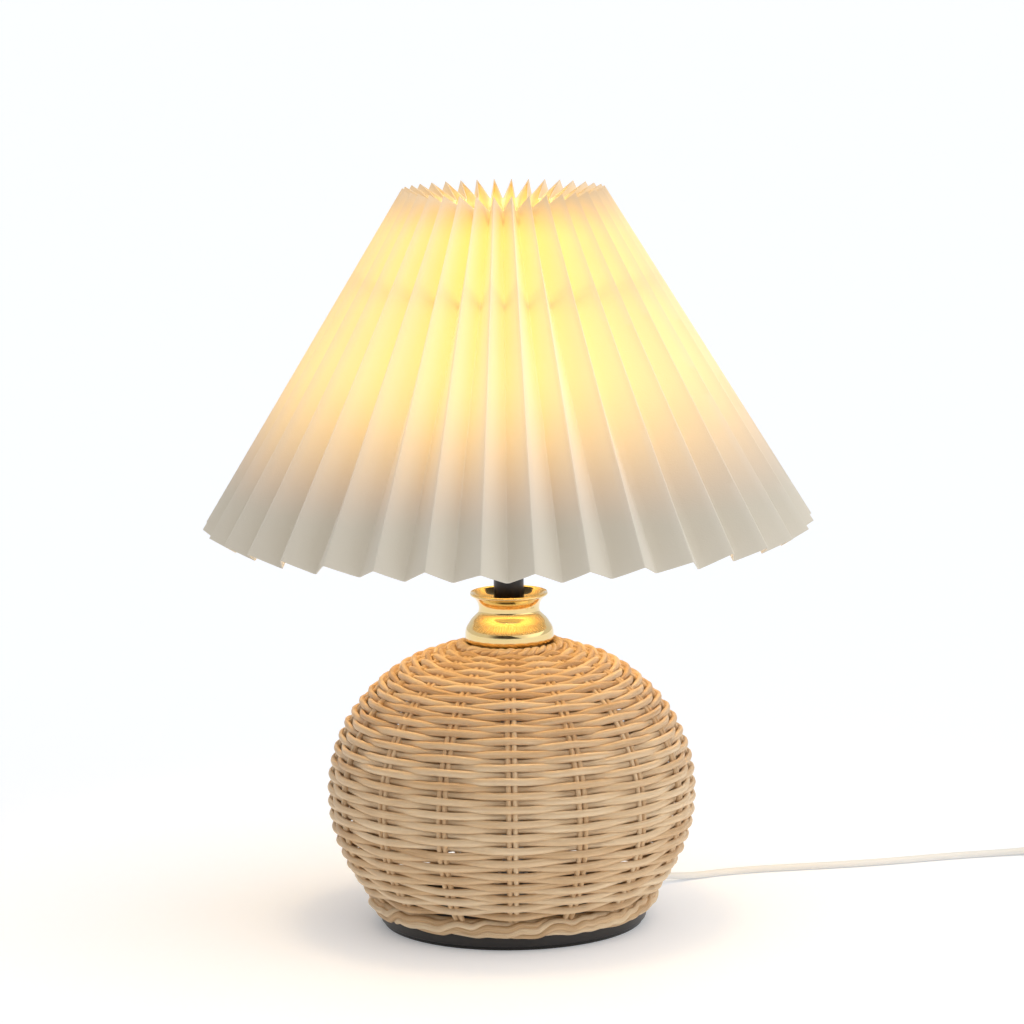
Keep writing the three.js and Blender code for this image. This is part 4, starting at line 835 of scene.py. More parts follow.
neck_border_height = ball_line(weave_foot, 0.0215, 0.0, 4)[-1][2]
neck_border = finished("neck_border", grown(rolled_border, "neck_border", {
    "Strands": 3, "Samples": 220, "Ring Radius": 0.0222, "Height": neck_border_height - 0.0012,
    "Rope Radius": 0.00135, "Rope Flatness": 0.8, "Twists": 11.0, "Strand Radius": 0.00125, "Sides": 8,
    "Wander": 0.0003, "Seed": 61.0, "Rest Radius": 0.0, "Rest Height": 0.0, "Material": rattan}), rattan,
    smooth_angle=180)

# ---------------------------------------------------------------------------------------------
# Neck: spun brass cup, polished and lacquered. A flared foot, a full bulge, a narrow waist and
# a rolled lip; the holder's stem stands in it.
# ---------------------------------------------------------------------------------------------
brass, brass_shader = marked("polished_brass", (0.88, 0.66, 0.30), 0.09, 1.0, swing=0.08, cloud=90, grain=400,
                             height=0.000004)
brass_shader.inputs["Coat Weight"].default_value = 0.4
brass_shader.inputs["Coat Roughness"].default_value = 0.04

neck_low, neck_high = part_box("brass_neck")
neck_foot, neck_top = neck_low.z, neck_high.z
neck_floor = neck_foot + 0.0106
neck_wall = 0.0009
neck_bulge = neck_high.x
neck_waist = 0.014
neck_lip = 0.0179
neck_bore = 0.0053


def smooth_outline(points, steps=7):
    """Points on the smooth curve through (radius, height) corners."""
    run = [(r, h, 0) for r, h in points]
    dense = []
    for i in range(len(run) - 1):
        before, a = Vector(run[max(i - 1, 0)]), Vector(run[i])
        b, after = Vector(run[i + 1]), Vector(run[min(i + 2, len(run) - 1)])
        for k in range(steps):
            t = k / steps
            p = 0.5 * (2 * a + (b - before) * t + (2 * before - 5 * a + 4 * b - after) * t * t
                       + (3 * a - before - 3 * b + after) * t ** 3)
            dense.append((p.x, p.y))
    return dense + [points[-1]]


neck_outline = smooth_outline([
    (neck_bulge - 0.0009, neck_foot), (neck_bulge - 0.0002, neck_foot + 0.0012),
    (neck_bulge, neck_foot + 0.0035),
    (neck_bulge - 0.0004, neck_foot + 0.0062), (neck_bulge - 0.0019, neck_foot + 0.0088),
    ((neck_bulge + neck_waist) / 2, neck_floor), (neck_waist + 0.0005, neck_floor + 0.0028),
    (neck_waist, neck_floor + 0.0052), (neck_waist + 0.0008, neck_top - 0.0042),
    (neck_lip - 0.0013, neck_top - 0.0020), (neck_lip - 0.0001, neck_top - 0.0012),
    (neck_lip, neck_top - 0.0006),
    (neck_lip - 0.0003, neck_top),
])
neck_inside = smooth_outline([
    (neck_lip - 0.0012, neck_top - 0.0003), (neck_waist + 0.0003, neck_top - 0.0032),
    (neck_waist - neck_wall, neck_floor + 0.0052), (neck_waist - 0.0016, neck_floor + neck_wall),
    (neck_bore, neck_floor + neck_wall),
])
neck_under = smooth_outline([
    (neck_bore, neck_floor), (neck_waist - 0.0012, neck_floor), (neck_bulge - 0.0028, neck_foot + 0.0078),
    (neck_bulge - neck_wall, neck_foot + 0.0035), (neck_bulge - 0.0018, neck_foot),
])
neck = finished("neck_cup", turned("neck_cup", neck_outline + neck_inside + neck_under, 128), brass,
                smooth_angle=60)
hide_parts("brass_neck")

# ---------------------------------------------------------------------------------------------
# Lamp holder: black moulded body with a narrow stem, its upper sleeve with the collar the shade
# sits on, and the ribbed ring nut that clamps the shade.
# ---------------------------------------------------------------------------------------------
holder_plastic = marked("holder_plastic", (0.016, 0.011, 0.008), 0.34, cloud=60, grain=1000)[0]

base_low, base_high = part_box("holder_base")
sleeve_low, sleeve_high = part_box("holder_sleeve")
stem_radius = 0.0069
stem_top = base_low.z + 0.0168
body_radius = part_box("holder_base")[1].x
body_wall = 0.0018
tube_gap = 0.0053
cone_top = stem_top + 0.005
holder_profile = rounded_profile([
    (tube_gap, base_low.z), (stem_radius, base_low.z), (stem_radius, stem_top),
    (body_radius - 0.0015, cone_top),
    (body_radius, cone_top + 0.0025), (body_radius, base_high.z), (body_radius - body_wall, base_high.z),
    (body_radius - body_wall, cone_top + 0.0033), (body_radius - 0.0032, cone_top + 0.0012),
    (0.004, stem_top + 0.0006), (0.004, stem_top - 0.0012), (tube_gap, stem_top - 0.0012),
], [0.0002, 0.0005, 0.002, 0.0015, 0.0015, 0.0004, 0.0003, 0.001, 0.001, 0.0002, 0.0002, 0.0002])
holder_body = finished("holder_body", turned("holder_body", holder_profile, 96), holder_plastic)
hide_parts("holder_base")

thread_radius = 0.0192
sleeve_bore = 0.0159
spigot = 0.0043
seat_radius = sleeve_high.x
seat_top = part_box("fitter_ring")[0].z - 0.0003
seat_thickness = 0.002
sleeve_joint = sleeve_low.z + spigot
sleeve_outline = [(sleeve_bore, sleeve_low.z), (body_radius - body_wall - 0.0003, sleeve_low.z),
                  (body_radius - body_wall - 0.0003, sleeve_joint), (thread_radius, sleeve_joint),
                  (thread_radius, seat_top - seat_thickness), (seat_radius, seat_top - seat_thickness),
                  (seat_radius, seat_top), (thread_radius, seat_top), (thread_radius, sleeve_high.z),
                  (sleeve_bore, sleeve_high.z)]
sleeve_profile = rounded_profile(sleeve_outline,
                                 [0.0002, 0.0002, 0, 0.0005, 0.0003, 0.0006, 0.0004, 0.0002, 0.0006, 0.0006])
sleeve = finished("holder_upper_sleeve", turned("holder_upper_sleeve", sleeve_profile, 96), holder_plastic)
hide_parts("holder_sleeve")

# ---------------------------------------------------------------------------------------------
# Shade ring nut: moulded in the holder's plastic, scalloped for the fingers. It screws down on
# the sleeve and holds the shade's fitter ring against the collar.
# ---------------------------------------------------------------------------------------------
nut_low, nut_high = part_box("shade_ring_nut")
nut_bore, nut_radius = thread_radius + 0.0003, nut_high.x
nut_scallops, nut_scallop_depth = 24, 0.0007
nut_profile = rounded_profile(
    [(nut_bore, nut_low.z), (nut_radius, nut_low.z), (nut_radius, nut_high.z), (nut_bore, nut_high.z)],
    [0.0003, 0.0006, 0.0010, 0.0004])
nut_mesh = turned("shade_clamp_nut", nut_profile, 240)
for vert in nut_mesh.vertices:
    angle, radius = math.atan2(vert.co.y, vert.co.x), math.hypot(vert.co.x, vert.co.y)
    rim = rising_step(radius, nut_bore + 0.002, nut_radius - 0.0004)
    inset = nut_scallop_depth * rim * max(0.0, -math.cos(nut_scallops * angle)) ** 0.6
    vert.co.x *= 1 - inset / radius
    vert.co.y *= 1 - inset / radius
ring_nut = finished("shade_clamp_nut", nut_mesh, holder_plastic, "ring_nut")
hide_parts("shade_ring_nut")

# ---------------------------------------------------------------------------------------------
# Holder's inside: steatite insert, a sprung centre contact and a rolled copper-alloy screw shell.
# ---------------------------------------------------------------------------------------------
steatite = marked("steatite", (0.78, 0.75, 0.68), 0.55)[0]
contact_alloy = marked("contact_alloy", (0.72, 0.42, 0.20), 0.28, 1.0, cloud=150)[0]
nickel = marked("nickel_plate", (0.66, 0.62, 0.56), 0.22, 1.0, cloud=120)[0]
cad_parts["holder_insert"].data.materials[0] = steatite
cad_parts["centre_contact"].data.materials[0] = contact_alloy

thread_step = 0.00362


def threaded_shell(name, bore, radius, low, high, thread_low, thread_high, depth):
    """A thin shell whose wall is rolled into an E27 thread between two heights."""
    segments, per_turn = 64, 12
    rows = round((high - low) / thread_step * per_turn)
    rings = []
    for wall, order in ((radius, range(rows + 1)), (bore, range(rows, -1, -1))):
        for i in order:
            z = low + (high - low) * i / rows
            ends = (rising_step(z, thread_low, thread_low + 0.002)
                    * (1 - rising_step(z, thread_high - 0.002, thread_high)))
            ring = []
            for k in range(segments):
                angle = 2 * math.pi * k / segments
                wave = 0.5 - 0.5 * math.cos(2 * math.pi * z / thread_step - angle)
                r = wall - depth * ends * wave
                ring.append((r * math.cos(angle), r * math.sin(angle), z))
            rings.append(ring)
    return loft(name, rings, closed=True)


shell_low, shell_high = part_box("screw_shell")
shell_wall = 0.0005
shell = finished("holder_screw_shell", threaded_shell(
    "holder_screw_shell", shell_high.x - shell_wall, shell_high.x, shell_low.z, shell_high.z,
    shell_low.z + 0.004, shell_high.z - 0.001, 0.0004), contact_alloy)
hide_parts("screw_shell")

# ---------------------------------------------------------------------------------------------
# Bulb: LED globe with a rolled nickel-plated cap, a white plastic body and a lit opal dome.
# ---------------------------------------------------------------------------------------------
lamp_plastic = marked("bulb_plastic", (0.84, 0.83, 0.80), 0.32)[0]
opal, opal_shader = surface("lit_opal", (0.92, 0.88, 0.80), 0.35)
opal_shader.inputs["Emission Color"].default_value = (1.0, 0.74, 0.40, 1)
opal_shader.inputs["Emission Strength"].default_value = 5.0
board_mask = marked("board_mask", (0.72, 0.73, 0.68), 0.5)[0]

tip_low, tip_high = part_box("bulb_tip_contact")
insulator_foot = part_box("bulb_insulator")[0].z
cap_low, cap_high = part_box("bulb_cap")
globe_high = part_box("bulb_body")[1]
dome_low, dome_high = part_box("bulb_dome")
cap_radius, cap_wall = cap_high.x, 0.0005
dome_radius, dome_wall = dome_high.x, 0.0012
rim_radius = globe_high.x

tip = finished("bulb_tip_button", turned("bulb_tip_button", rounded_profile(
    [(0, tip_low.z), (tip_high.x - 0.0008, tip_low.z), (tip_high.x, tip_high.z), (0, tip_high.z)],
    [0, 0.0008, 0.0002, 0]), 48), nickel, "bulb_tip")
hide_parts("bulb_tip_contact")

shell_bottom = cap_low.z
cap_mesh = threaded_shell(
    "bulb_screw_cap", cap_radius - cap_wall, cap_radius, shell_bottom + 0.0018, cap_high.z,
    shell_bottom + 0.0022, cap_high.z - 0.0025, 0.0011)
cap = finished("bulb_screw_cap", cap_mesh, nickel, "bulb")
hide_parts("bulb_cap")

insulator = finished("bulb_glass_button", turned("bulb_glass_button", rounded_profile(
    [(0, insulator_foot), (tip_high.x, insulator_foot), (cap_radius - 0.0012, shell_bottom + 0.0012),
     (cap_radius - 0.0012, shell_bottom + 0.0024), (cap_radius - 0.0034, shell_bottom + 0.0024),
     (0, shell_bottom + 0.0024)],
    [0, 0.0003, 0.0006, 0.0003, 0, 0]), 64), holder_plastic, "bulb")
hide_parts("bulb_insulator")

under_cap = cap_high.z + 0.0001
rim_height = globe_high.z
body_wall_thickness = 0.0012
globe_outline = smooth_outline([
    (cap_radius + 0.0006, under_cap), (cap_radius + 0.0012, under_cap + 0.004),
    (cap_radius + 0.0040, under_cap + 0.011),
    (rim_radius - 0.0052, rim_height - 0.012), (rim_radius - 0.0008, rim_height - 0.004),
    (rim_radius, rim_height)])
globe_inside = [(r - body_wall_thickness, z + (0.0003 if z < rim_height else 0))
                for r, z in reversed(globe_outline)]
globe = finished("bulb_housing", turned("bulb_housing", globe_outline + globe_inside, 96), lamp_plastic,
                 "bulb")
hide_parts("bulb_body")

dome_middle = dome_high.z - dome_radius
dome_outline = [(rim_radius, dome_low.z)]
for i in range(25):
    angle = -0.32 + (math.pi / 2 + 0.32) * i / 24
    dome_outline.append((dome_radius * math.cos(angle), dome_middle + dome_radius * math.sin(angle)))
dome_outline[-1] = (0, dome_high.z)
dome_inside = [(max(0, r - dome_wall * (r / dome_radius)),
                z - dome_wall * max(0, (z - dome_middle) / dome_radius))
               for r, z in reversed(dome_outline[1:])] + [(rim_radius - dome_wall, dome_low.z)]
dome = finished("bulb_opal_dome", turned("bulb_opal_dome", dome_outline + dome_inside[1:], 96), opal, "bulb",
                smooth_angle=60)
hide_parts("bulb_dome")
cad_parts["led_board"].data.materials[0] = board_mask
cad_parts["bulb_driver"].data.materials[0] = board_mask

inner_glow = bpy.data.lights.new("bulb_scatter", "AREA")
inner_glow.shape = "DISK"
inner_glow.size = 0.10
inner_glow.energy = 0.35
inner_glow.color = (1.0, 0.70, 0.36)
inner_glow_lamp = bpy.data.objects.new("bulb_scatter", inner_glow)
inner_glow_lamp.location = (0, 0, dome_high.z + 0.004)
bpy.context.collection.objects.link(inner_glow_lamp)

# ---------------------------------------------------------------------------------------------
# Shade frame: white powder-coated wire. Two rings inside the pleats, three struts between them,
# and three arms down to the flat fitter ring.
# ---------------------------------------------------------------------------------------------
wire_coat = marked("white_wire_coat", (0.80, 0.77, 0.70), 0.38)[0]
wire_radius = 0.0015
arm_count = 3
top_ring_low, top_ring_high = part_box("shade_top_ring")
low_ring_low, low_ring_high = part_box("shade_lower_ring")
fitter_low, fitter_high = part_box("fitter_ring")
top_ring_height, low_ring_height = (
    (a.z + b.z) / 2 for a, b in ((top_ring_low, top_ring_high), (low_ring_low, low_ring_high)))
top_ring_radius, low_ring_radius = 0.0343, 0.0560
fitter_bore = 0.0197


def wire_ring(name, radius, height):
    """A ring of round wire."""
    section = [(radius + wire_radius * math.cos(math.radians(30 * i)),
                height + wire_radius * math.sin(math.radians(30 * i)))
               for i in range(12)]
    return turned(name, section, 120)


def bent_wire(name, points, radius, spacing=0.002, sides=12):
    """A round wire along a smooth line through the points, closed at both ends."""
    line = smooth_run(points, spacing)
    rings = []
    side = None
    for i, point in enumerate(line):
        along = (line[min(i + 1, len(line) - 1)] - line[max(i - 1, 0)]).normalized()
        side = (along.orthogonal() if side is None else side - along * side.dot(along)).normalized()
        up = along.cross(side)
        rings.append([point + radius
                      * (side * math.cos(2 * math.pi * k / sides) + up * math.sin(2 * math.pi * k / sides))
                      for k in range(sides)])
    return loft(name, rings)


def turned_points(points, degrees):
    turn = Matrix.Rotation(math.radians(degrees), 3, "Z")
    return [tuple(turn @ Vector(p)) for p in points]


frame_pieces = []
for name, node, radius, height in (("shade_upper_wire", "shade_top_ring", top_ring_radius, top_ring_height),
                                   ("shade_middle_wire", "shade_lower_ring", low_ring_radius,
                                    low_ring_height)):
    ring = finished(name, wire_ring(name, radius, height), wire_coat, "shade")
    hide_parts(node)
    frame_pieces.append(ring)

fitter = finished("shade_fitter", turned("shade_fitter", rounded_profile(
    [(fitter_bore, fitter_low.z), (fitter_high.x, fitter_low.z), (fitter_high.x, fitter_high.z),
     (fitter_bore, fitter_high.z)],
    [0.0004, 0.0008, 0.0008, 0.0004]), 96), wire_coat, "shade")
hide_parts("fitter_ring")
frame_pieces.append(fitter)

arm_foot = (fitter_high.x + nut_radius) / 2 + 0.0003
slope = (Vector((low_ring_radius, low_ring_height))
         - Vector((top_ring_radius, top_ring_height))).normalized() * (wire_radius * 0.6)
for i in range(arm_count):
    degrees = 360 * i / arm_count - 90
    arm_line = [(arm_foot, 0, fitter_high.z - 0.0004), (arm_foot, 0, fitter_high.z + 0.005),
                (arm_foot + 0.003, 0, fitter_high.z + 0.014),
                (low_ring_radius - 0.0022, 0, low_ring_height - 0.006),
                (low_ring_radius, 0, low_ring_height - wire_radius * 0.6)]
    strut_line = [(top_ring_radius + slope.x, 0, top_ring_height + slope.y),
                  (low_ring_radius - slope.x, 0, low_ring_height - slope.y)]
    for name, node, points in ((f"shade_leg_wire_{i + 1}", f"shade_arm_{i + 1}", arm_line),
                               (f"shade_link_wire_{i + 1}", f"shade_strut_{i + 1}", strut_line)):
        wire_piece = finished(name, bent_wire(name, turned_points(points, degrees), wire_radius), wire_coat,
                              "shade")
        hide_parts(node)
        frame_pieces.append(wire_piece)

# ---------------------------------------------------------------------------------------------
# Shade: laminated off-white cloth in 36 knife pleats, hot-set and glued round the two rings. The
# bulb's light through it is painted into the cloth's emission, with the rings' soft shadows painted on the
# pleats.
# ---------------------------------------------------------------------------------------------
pleats = 36
shade_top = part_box("shade_cover")[1].z
shade_hem = shade_top - 0.153
fold_radius_top, fold_radius_hem = 0.0465, 0.140
pleat_depth_top, pleat_depth_hem = 0.0160, 0.011
cloth_thickness = 0.0004
cloth_levels = 64
cloth_columns = (0.0, 0.05, 0.28, 0.5, 0.72, 0.95)
cloth_slope = math.atan2(fold_radius_hem - fold_radius_top, shade_top - shade_hem)
cloth_inward = (-math.cos(cloth_slope), -math.sin(cloth_slope))
pleat_seed = 7
# The glow values below are painted light. The bulb's light through the cloth goes into its emission and fades
# out towards the hem. They also paint shade above the top ring and along the outer folds, varied a little
# from pleat to pleat, and a faint warm bounce light on every face.
glow_full_height, glow_none_height = 0.268, 0.200
fold_lean, fold_reach, hem_drop = 0.10, 0.0007, 0.0005
crease_softness = 0.0175
cloth_bow = 0.0006
upper_edge_shadow, crease_shadow = 0.62, 0.22
cloth_emission_color = (0.68, 0.40, 0.055)
cloth_emission_least = (0.050, 0.026, 0.0)


def ring_shade(radius, height, ring_radius, ring_height):
    """How much of the bulb's light a ring lets through to a point on the cloth."""
    share = min(1.0, ring_radius / radius)
    ray = dome_middle + (height - dome_middle) * share
    gap = max(0.0, radius - ring_radius) / max(share, 0.2)
    blur = wire_radius + 0.30 * gap
    return 1 - min(0.62, 0.75 * wire_radius / blur) * math.exp(-(((ray - ring_height) / (0.9 * blur)) ** 2))


def cloth_mesh():
    """The pleated cloth as one sheet, with the bulb's painted glow kept at each point."""
    chance = random.Random(pleat_seed)
    folds = 2 * pleats
    lean = [chance.uniform(-fold_lean, fold_lean) for _ in range(folds)]
    reach = [chance.uniform(-fold_reach, fold_reach) for _ in range(folds)]
    drop = [chance.uniform(-hem_drop, hem_drop) for _ in range(folds)]
    unevenness = [chance.uniform(0.96, 1.04) for _ in range(folds)]

    def fold_point(along, k):
        k %= folds
        depth = (pleat_depth_top + (pleat_depth_hem - pleat_depth_top) * along) if k % 2 == 0 else 0.0
        radius = (fold_radius_top + (fold_radius_hem - fold_radius_top) * along
                  + reach[k] * (0.4 + 0.6 * along))
        angle = -math.pi / 2 + (k + lean[k] * (0.4 + 0.6 * along)) * math.pi / pleats
        height = shade_top + (shade_hem - shade_top) * along + cloth_inward[1] * depth + drop[k] * along
        return Vector(((radius + cloth_inward[0] * depth) * math.cos(angle),
                       (radius + cloth_inward[0] * depth) * math.sin(angle), height))

    points, glow, columns = [], [], folds * len(cloth_columns)
    for level in range(cloth_levels + 1):
        along = level / cloth_levels
        for k in range(folds):
            a, b = fold_point(along, k), fold_point(along, k + 1)
            before = fold_point(along, k - 1)
            for t in cloth_columns:
                p = a.lerp(b, t)
                if t == 0.0:
                    p = a * (1 - 2 * crease_softness) + (before + b) * crease_softness
                bow = math.sin(math.pi * t) * cloth_bow * math.sin(3 * k + 5 * along)
                p = p * (1 + bow)
                radius, height = math.hypot(p.x, p.y), p.z
                lit = rising_step(height, glow_none_height, glow_full_height)
                lit *= ring_shade(radius, height, low_ring_radius, low_ring_height)
                lit *= ring_shade(radius, height, top_ring_radius, top_ring_height)
                lit *= 1 - upper_edge_shadow * rising_step(height, top_ring_height - 0.004, shade_top)
                ridge = abs(t) if k % 2 else 1 - abs(t)
                lit *= 1 - crease_shadow * max(0.0, 1 - 5 * ridge)
                lit *= unevenness[k] * (1 + 0.05 * noise.noise(p * 45))
                points.append(p)
                glow.append(lit)
    faces = []
    for level in range(cloth_levels):
        for c in range(columns):
            n = (c + 1) % columns
            faces.append((level * columns + c, (level + 1) * columns + c, (level + 1) * columns + n,
                          level * columns + n))
    mesh = bpy.data.meshes.new("pleated_shade")
    mesh.from_pydata(points, [], faces)
    colors = mesh.attributes.new("glow", "FLOAT_COLOR", "POINT")
    values = []
    for lit in glow:
        for full, least, rise in zip(cloth_emission_color, cloth_emission_least, (0.8, 1.0, 1.2)):
            values.append(least + (full - least) * lit ** rise)
        values.append(1.0)
    colors.data.foreach_set("color", values)
    return mesh


cloth, cloth_shader = surface("pleated_cloth", (0.60, 0.575, 0.51), 0.75)
cloth_nodes, cloth_links = cloth.node_tree.nodes, cloth.node_tree.links
add_marks(cloth, cloth_shader, 0.75, swing=0.05, cloud=60, grain=1500, height=0.00006)
glow_read = cloth_nodes.new("ShaderNodeAttribute")
glow_read.attribute_name = "glow"
cloth_links.new(glow_read.outputs["Color"], cloth_shader.inputs["Emission Color"])
cloth_shader.inputs["Emission Strength"].default_value = 1.0
cloth_shader.inputs["Specular IOR Level"].default_value = 0.25
cloth_shader.inputs["Sheen Weight"].default_value = 0.15

shade_source = bpy.data.objects.new("pleated_shade_sheet", cloth_mesh())
bpy.context.collection.objects.link(shade_source)
thicken = shade_source.modifiers.new("thickness", "SOLIDIFY")
thicken.thickness = cloth_thickness
thicken.offset = -1
bpy.context.view_layer.update()
view_layer_now = bpy.context.evaluated_depsgraph_get()
shade_mesh = bpy.data.meshes.new_from_object(
    shade_source.evaluated_get(view_layer_now), preserve_all_data_layers=True, depsgraph=view_layer_now)
shade_source.modifiers.remove(thicken)
bpy.data.objects.remove(shade_source)
shade_mesh.name = "pleated_shade"
shade = finished("pleated_shade", shade_mesh, cloth, "shade", smooth_angle=32)
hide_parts("shade_cover")

# ---------------------------------------------------------------------------------------------
# Coil tie: a flat black hook-and-loop strap round the coil's turns, its loop side out.
# ---------------------------------------------------------------------------------------------
strap, strap_shader = marked("black_strap", (0.03, 0.028, 0.026), 0.9, swing=0.05, grain=2200, height=0.00015)
strap_shader.inputs["Sheen Weight"].default_value = 0.35
strap_width = 0.006
strap_thickness = 0.0005
strap_steps = 6
strap_corner = 0.0022
strap_angle = math.radians(200)
strap_reach, strap_room = 0.030, (0.0220, 0.0070)
strap_middle = (coil_layer_heights[0] + coil_layer_heights[1]) / 2 + 0.0001


def rounded_plan(length, width, corner, inset=0.0, steps=8):
    """Outline of a rounded rectangle, set in from its edge."""
    outline = []
    for cx, cy, start in ((1, -1, -90), (1, 1, 0), (-1, 1, 90), (-1, -1, 180)):
        for k in range(steps + 1):
            angle = math.radians(start + 90 * k / steps)
            outline.append((cx * (length / 2 - corner) + (corner - inset) * math.cos(angle),
                            cy * (width / 2 - corner) + (corner - inset) * math.sin(angle)))
    return outline


strap_out = Vector((math.cos(strap_angle), math.sin(strap_angle), 0))
strap_along = Vector((-strap_out.y, strap_out.x, 0))
strap_centre = Vector((*coil_centre, strap_middle)) + strap_out * strap_reach
inner_loop = rounded_plan(*strap_room, strap_corner, steps=strap_steps)
outer_loop = rounded_plan(
    *(size + 2 * strap_thickness for size in strap_room), strap_corner + strap_thickness, steps=strap_steps)
strap_rings = []
for (ix, iz), (ox, oz) in zip(inner_loop, outer_loop):
    near, far = strap_out * ix + Vector((0, 0, iz)), strap_out * ox + Vector((0, 0, oz))
    half = strap_along * (strap_width / 2)
    strap_rings.append([strap_centre + near - half, strap_centre + near + half,
                        strap_centre + far + half, strap_centre + far - half])
tie = finished("coil_strap", loft("coil_strap", strap_rings, closed=True), strap)
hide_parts("coil_tie")

# ---------------------------------------------------------------------------------------------
# Lead switch: two white moulded half shells screwed together from below, a curved rocker on a
# steel pin between them, and the copper contact strip inside.
# ---------------------------------------------------------------------------------------------
switch_plastic = marked("white_moulding", (0.80, 0.79, 0.76), 0.36, cloud=40, grain=1400)[0]
switch_place = (0.2983, 0.109)
switch_size = (0.060, 0.018)
switch_corner = 0.007
switch_edge = 0.0016
switch_wall = 0.0018
switch_end = 0.012
outlet_height = 0.0042
edge_steps = 5
window_size = (0.0228, 0.0106)
rocker_size = (0.021, 0.010)
rocker_tilt = math.radians(8)
rocker_crown, rocker_tip = 0.0008, 0.0014
rocker_ends = ((-1, 0.965), (-0.94, 0.995), (-0.86, 1.0), (0.86, 1.0), (0.94, 0.995), (1, 0.965))
rocker_bore_turns = [2 * math.pi * k / 24 for k in range(24)]


def moulded(name, low, high, low_edge, high_edge, place):
    """A slab with the switch's outline and a rounded lower or upper edge."""
    turns = [math.radians(90 * k / edge_steps) for k in range(edge_steps + 1)]
    bottom = [(low + low_edge * (1 - math.sin(turn)), low_edge * (1 - math.cos(turn)))
              for turn in reversed(turns)]
    top = [(high - high_edge * (1 - math.cos(turn)), high_edge * (1 - math.sin(turn)))
           for turn in reversed(turns)]
    levels = (bottom if low_edge else [(low, 0.0)]) + (top if high_edge else [(high, 0.0)])
    levels.sort(key=lambda level: level[0])
    rings = [[(place[0] + x, place[1] + y, z) for x, y in rounded_plan(*switch_size, switch_corner, inset)]
             for z, inset in levels]
    return loft(name, rings)


def hollowed(mesh, tools):
    """The mesh with boxes and rods cut out of it."""
    body = bpy.data.objects.new(mesh.name + "_solid", mesh)
    bpy.context.collection.objects.link(body)
    helpers = []
    for k, tool in enumerate(tools):
        helper = bpy.data.objects.new(f"tool_{k}", tool)
        bpy.context.collection.objects.link(helper)
        helpers.append(helper)
        cut = body.modifiers.new(f"cut_{k}", "BOOLEAN")
        cut.object = helper
        cut.operation = "DIFFERENCE"
        cut.solver = "EXACT"
    bpy.context.view_layer.update()
    view = bpy.context.evaluated_depsgraph_get()
    cut_mesh = bpy.data.meshes.new_from_object(body.evaluated_get(view), depsgraph=view)
    cut_mesh.name = mesh.name
    body.modifiers.clear()
    for helper in helpers + [body]:
        bpy.data.objects.remove(helper)
    return cut_mesh


def box_tool(name, size, centre):
    """An upright block for cutting."""
    x, y, z = (s / 2 for s in size)
    rings = [[(centre[0] + a * x, centre[1] + b * y, centre[2] + c * z)
              for a, b in ((-1, -1), (1, -1), (1, 1), (-1, 1))]
             for c in (-1, 1)]
    return loft(name, rings)


def rod_tool(name, radius, low, high, place, sides=20):
    rings = [[(place[0] + radius * math.cos(2 * math.pi * k / sides),
               place[1] + radius * math.sin(2 * math.pi * k / sides), z)
              for k in range(sides)] for z in (low, high)]
    return loft(name, rings)


lower_box, upper_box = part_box("switch_lower_shell"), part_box("switch_upper_shell")
room_size = (switch_size[0] - 2 * switch_end, switch_size[1] - 2 * switch_wall)
screw_boxes = [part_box(f"switch_screw_{i}") for i in (1, 2)]
screw_places = [((low.x + high.x) / 2, (low.y + high.y) / 2) for low, high in screw_boxes]
screw_shaft, screw_head, screw_head_height = 0.0012, 0.0020, 0.0016
outlet = (switch_size[0] + 0.002, lead_width + 0.0005, lead_thickness + 0.0005)
lower_tools = [box_tool("outlet", outlet, (*switch_place, outlet_height)),
               box_tool("room", (*room_size, lower_box[1].z),
                        (*switch_place, switch_wall + lower_box[1].z / 2))]
for k, place in enumerate(screw_places):
    lower_tools.append(rod_tool(f"shaft_{k}", screw_shaft + 0.0003, -0.001, lower_box[1].z + 0.001, place))
    lower_tools.append(rod_tool(f"head_{k}", screw_head + 0.0006, -0.001, screw_head_height + 0.0003, place))
lower_shell = finished("switch_lower_half", hollowed(
    moulded("switch_lower_half", lower_box[0].z, lower_box[1].z, switch_edge, 0.0, switch_place),
    lower_tools),
    switch_plastic, smooth_angle=35)
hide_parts("switch_lower_shell")

ceiling = upper_box[1].z - switch_wall
upper_tools = [box_tool("room_above", (*room_size, 0.007), (*switch_place, ceiling - 0.0035)),
               box_tool("window", (*window_size, 0.007), (*switch_place, upper_box[1].z))]
for k, place in enumerate(screw_places):
    upper_tools.append(rod_tool(f"socket_{k}", screw_shaft + 0.0003, upper_box[0].z - 0.001, ceiling, place))
upper_shell = finished("switch_upper_half", hollowed(
    moulded("switch_upper_half", upper_box[0].z, upper_box[1].z, 0.0, switch_edge, switch_place),
    upper_tools),
    switch_plastic, smooth_angle=35)
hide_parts("switch_upper_shell")

pin_low, pin_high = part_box("rocker_pin")
pivot = Vector(((pin_low.x + pin_high.x) / 2, (pin_low.y + pin_high.y) / 2, (pin_low.z + pin_high.z) / 2))
pin_bore = (pin_high.z - pin_low.z) / 2 + 0.0003
crown = upper_box[1].z - pivot.z
half_length, half_width = rocker_size[0] / 2, rocker_size[1] / 2
rocker_side = [(-half_length, crown - 0.001), (-half_length + 0.0015, -0.0005),
               (-0.003, -0.0024), (0.003, -0.0024),
               (half_length - 0.0015, -0.0005), (half_length, crown - 0.001)]
crown_steps = 16
for k in range(crown_steps + 1):
    share = 1 - 2 * k / crown_steps
    rocker_side.append((half_length * share,
                        crown + rocker_crown + (rocker_tip - rocker_crown) * abs(share) ** 1.6))
rocker_section = rounded_profile(rocker_side, [0.0, 0.0006, 0.0006, 0.0006, 0.0006, 0.0, 0.0004]
                                 + [0.0] * (crown_steps - 1) + [0.0004])
rocker_rings = []
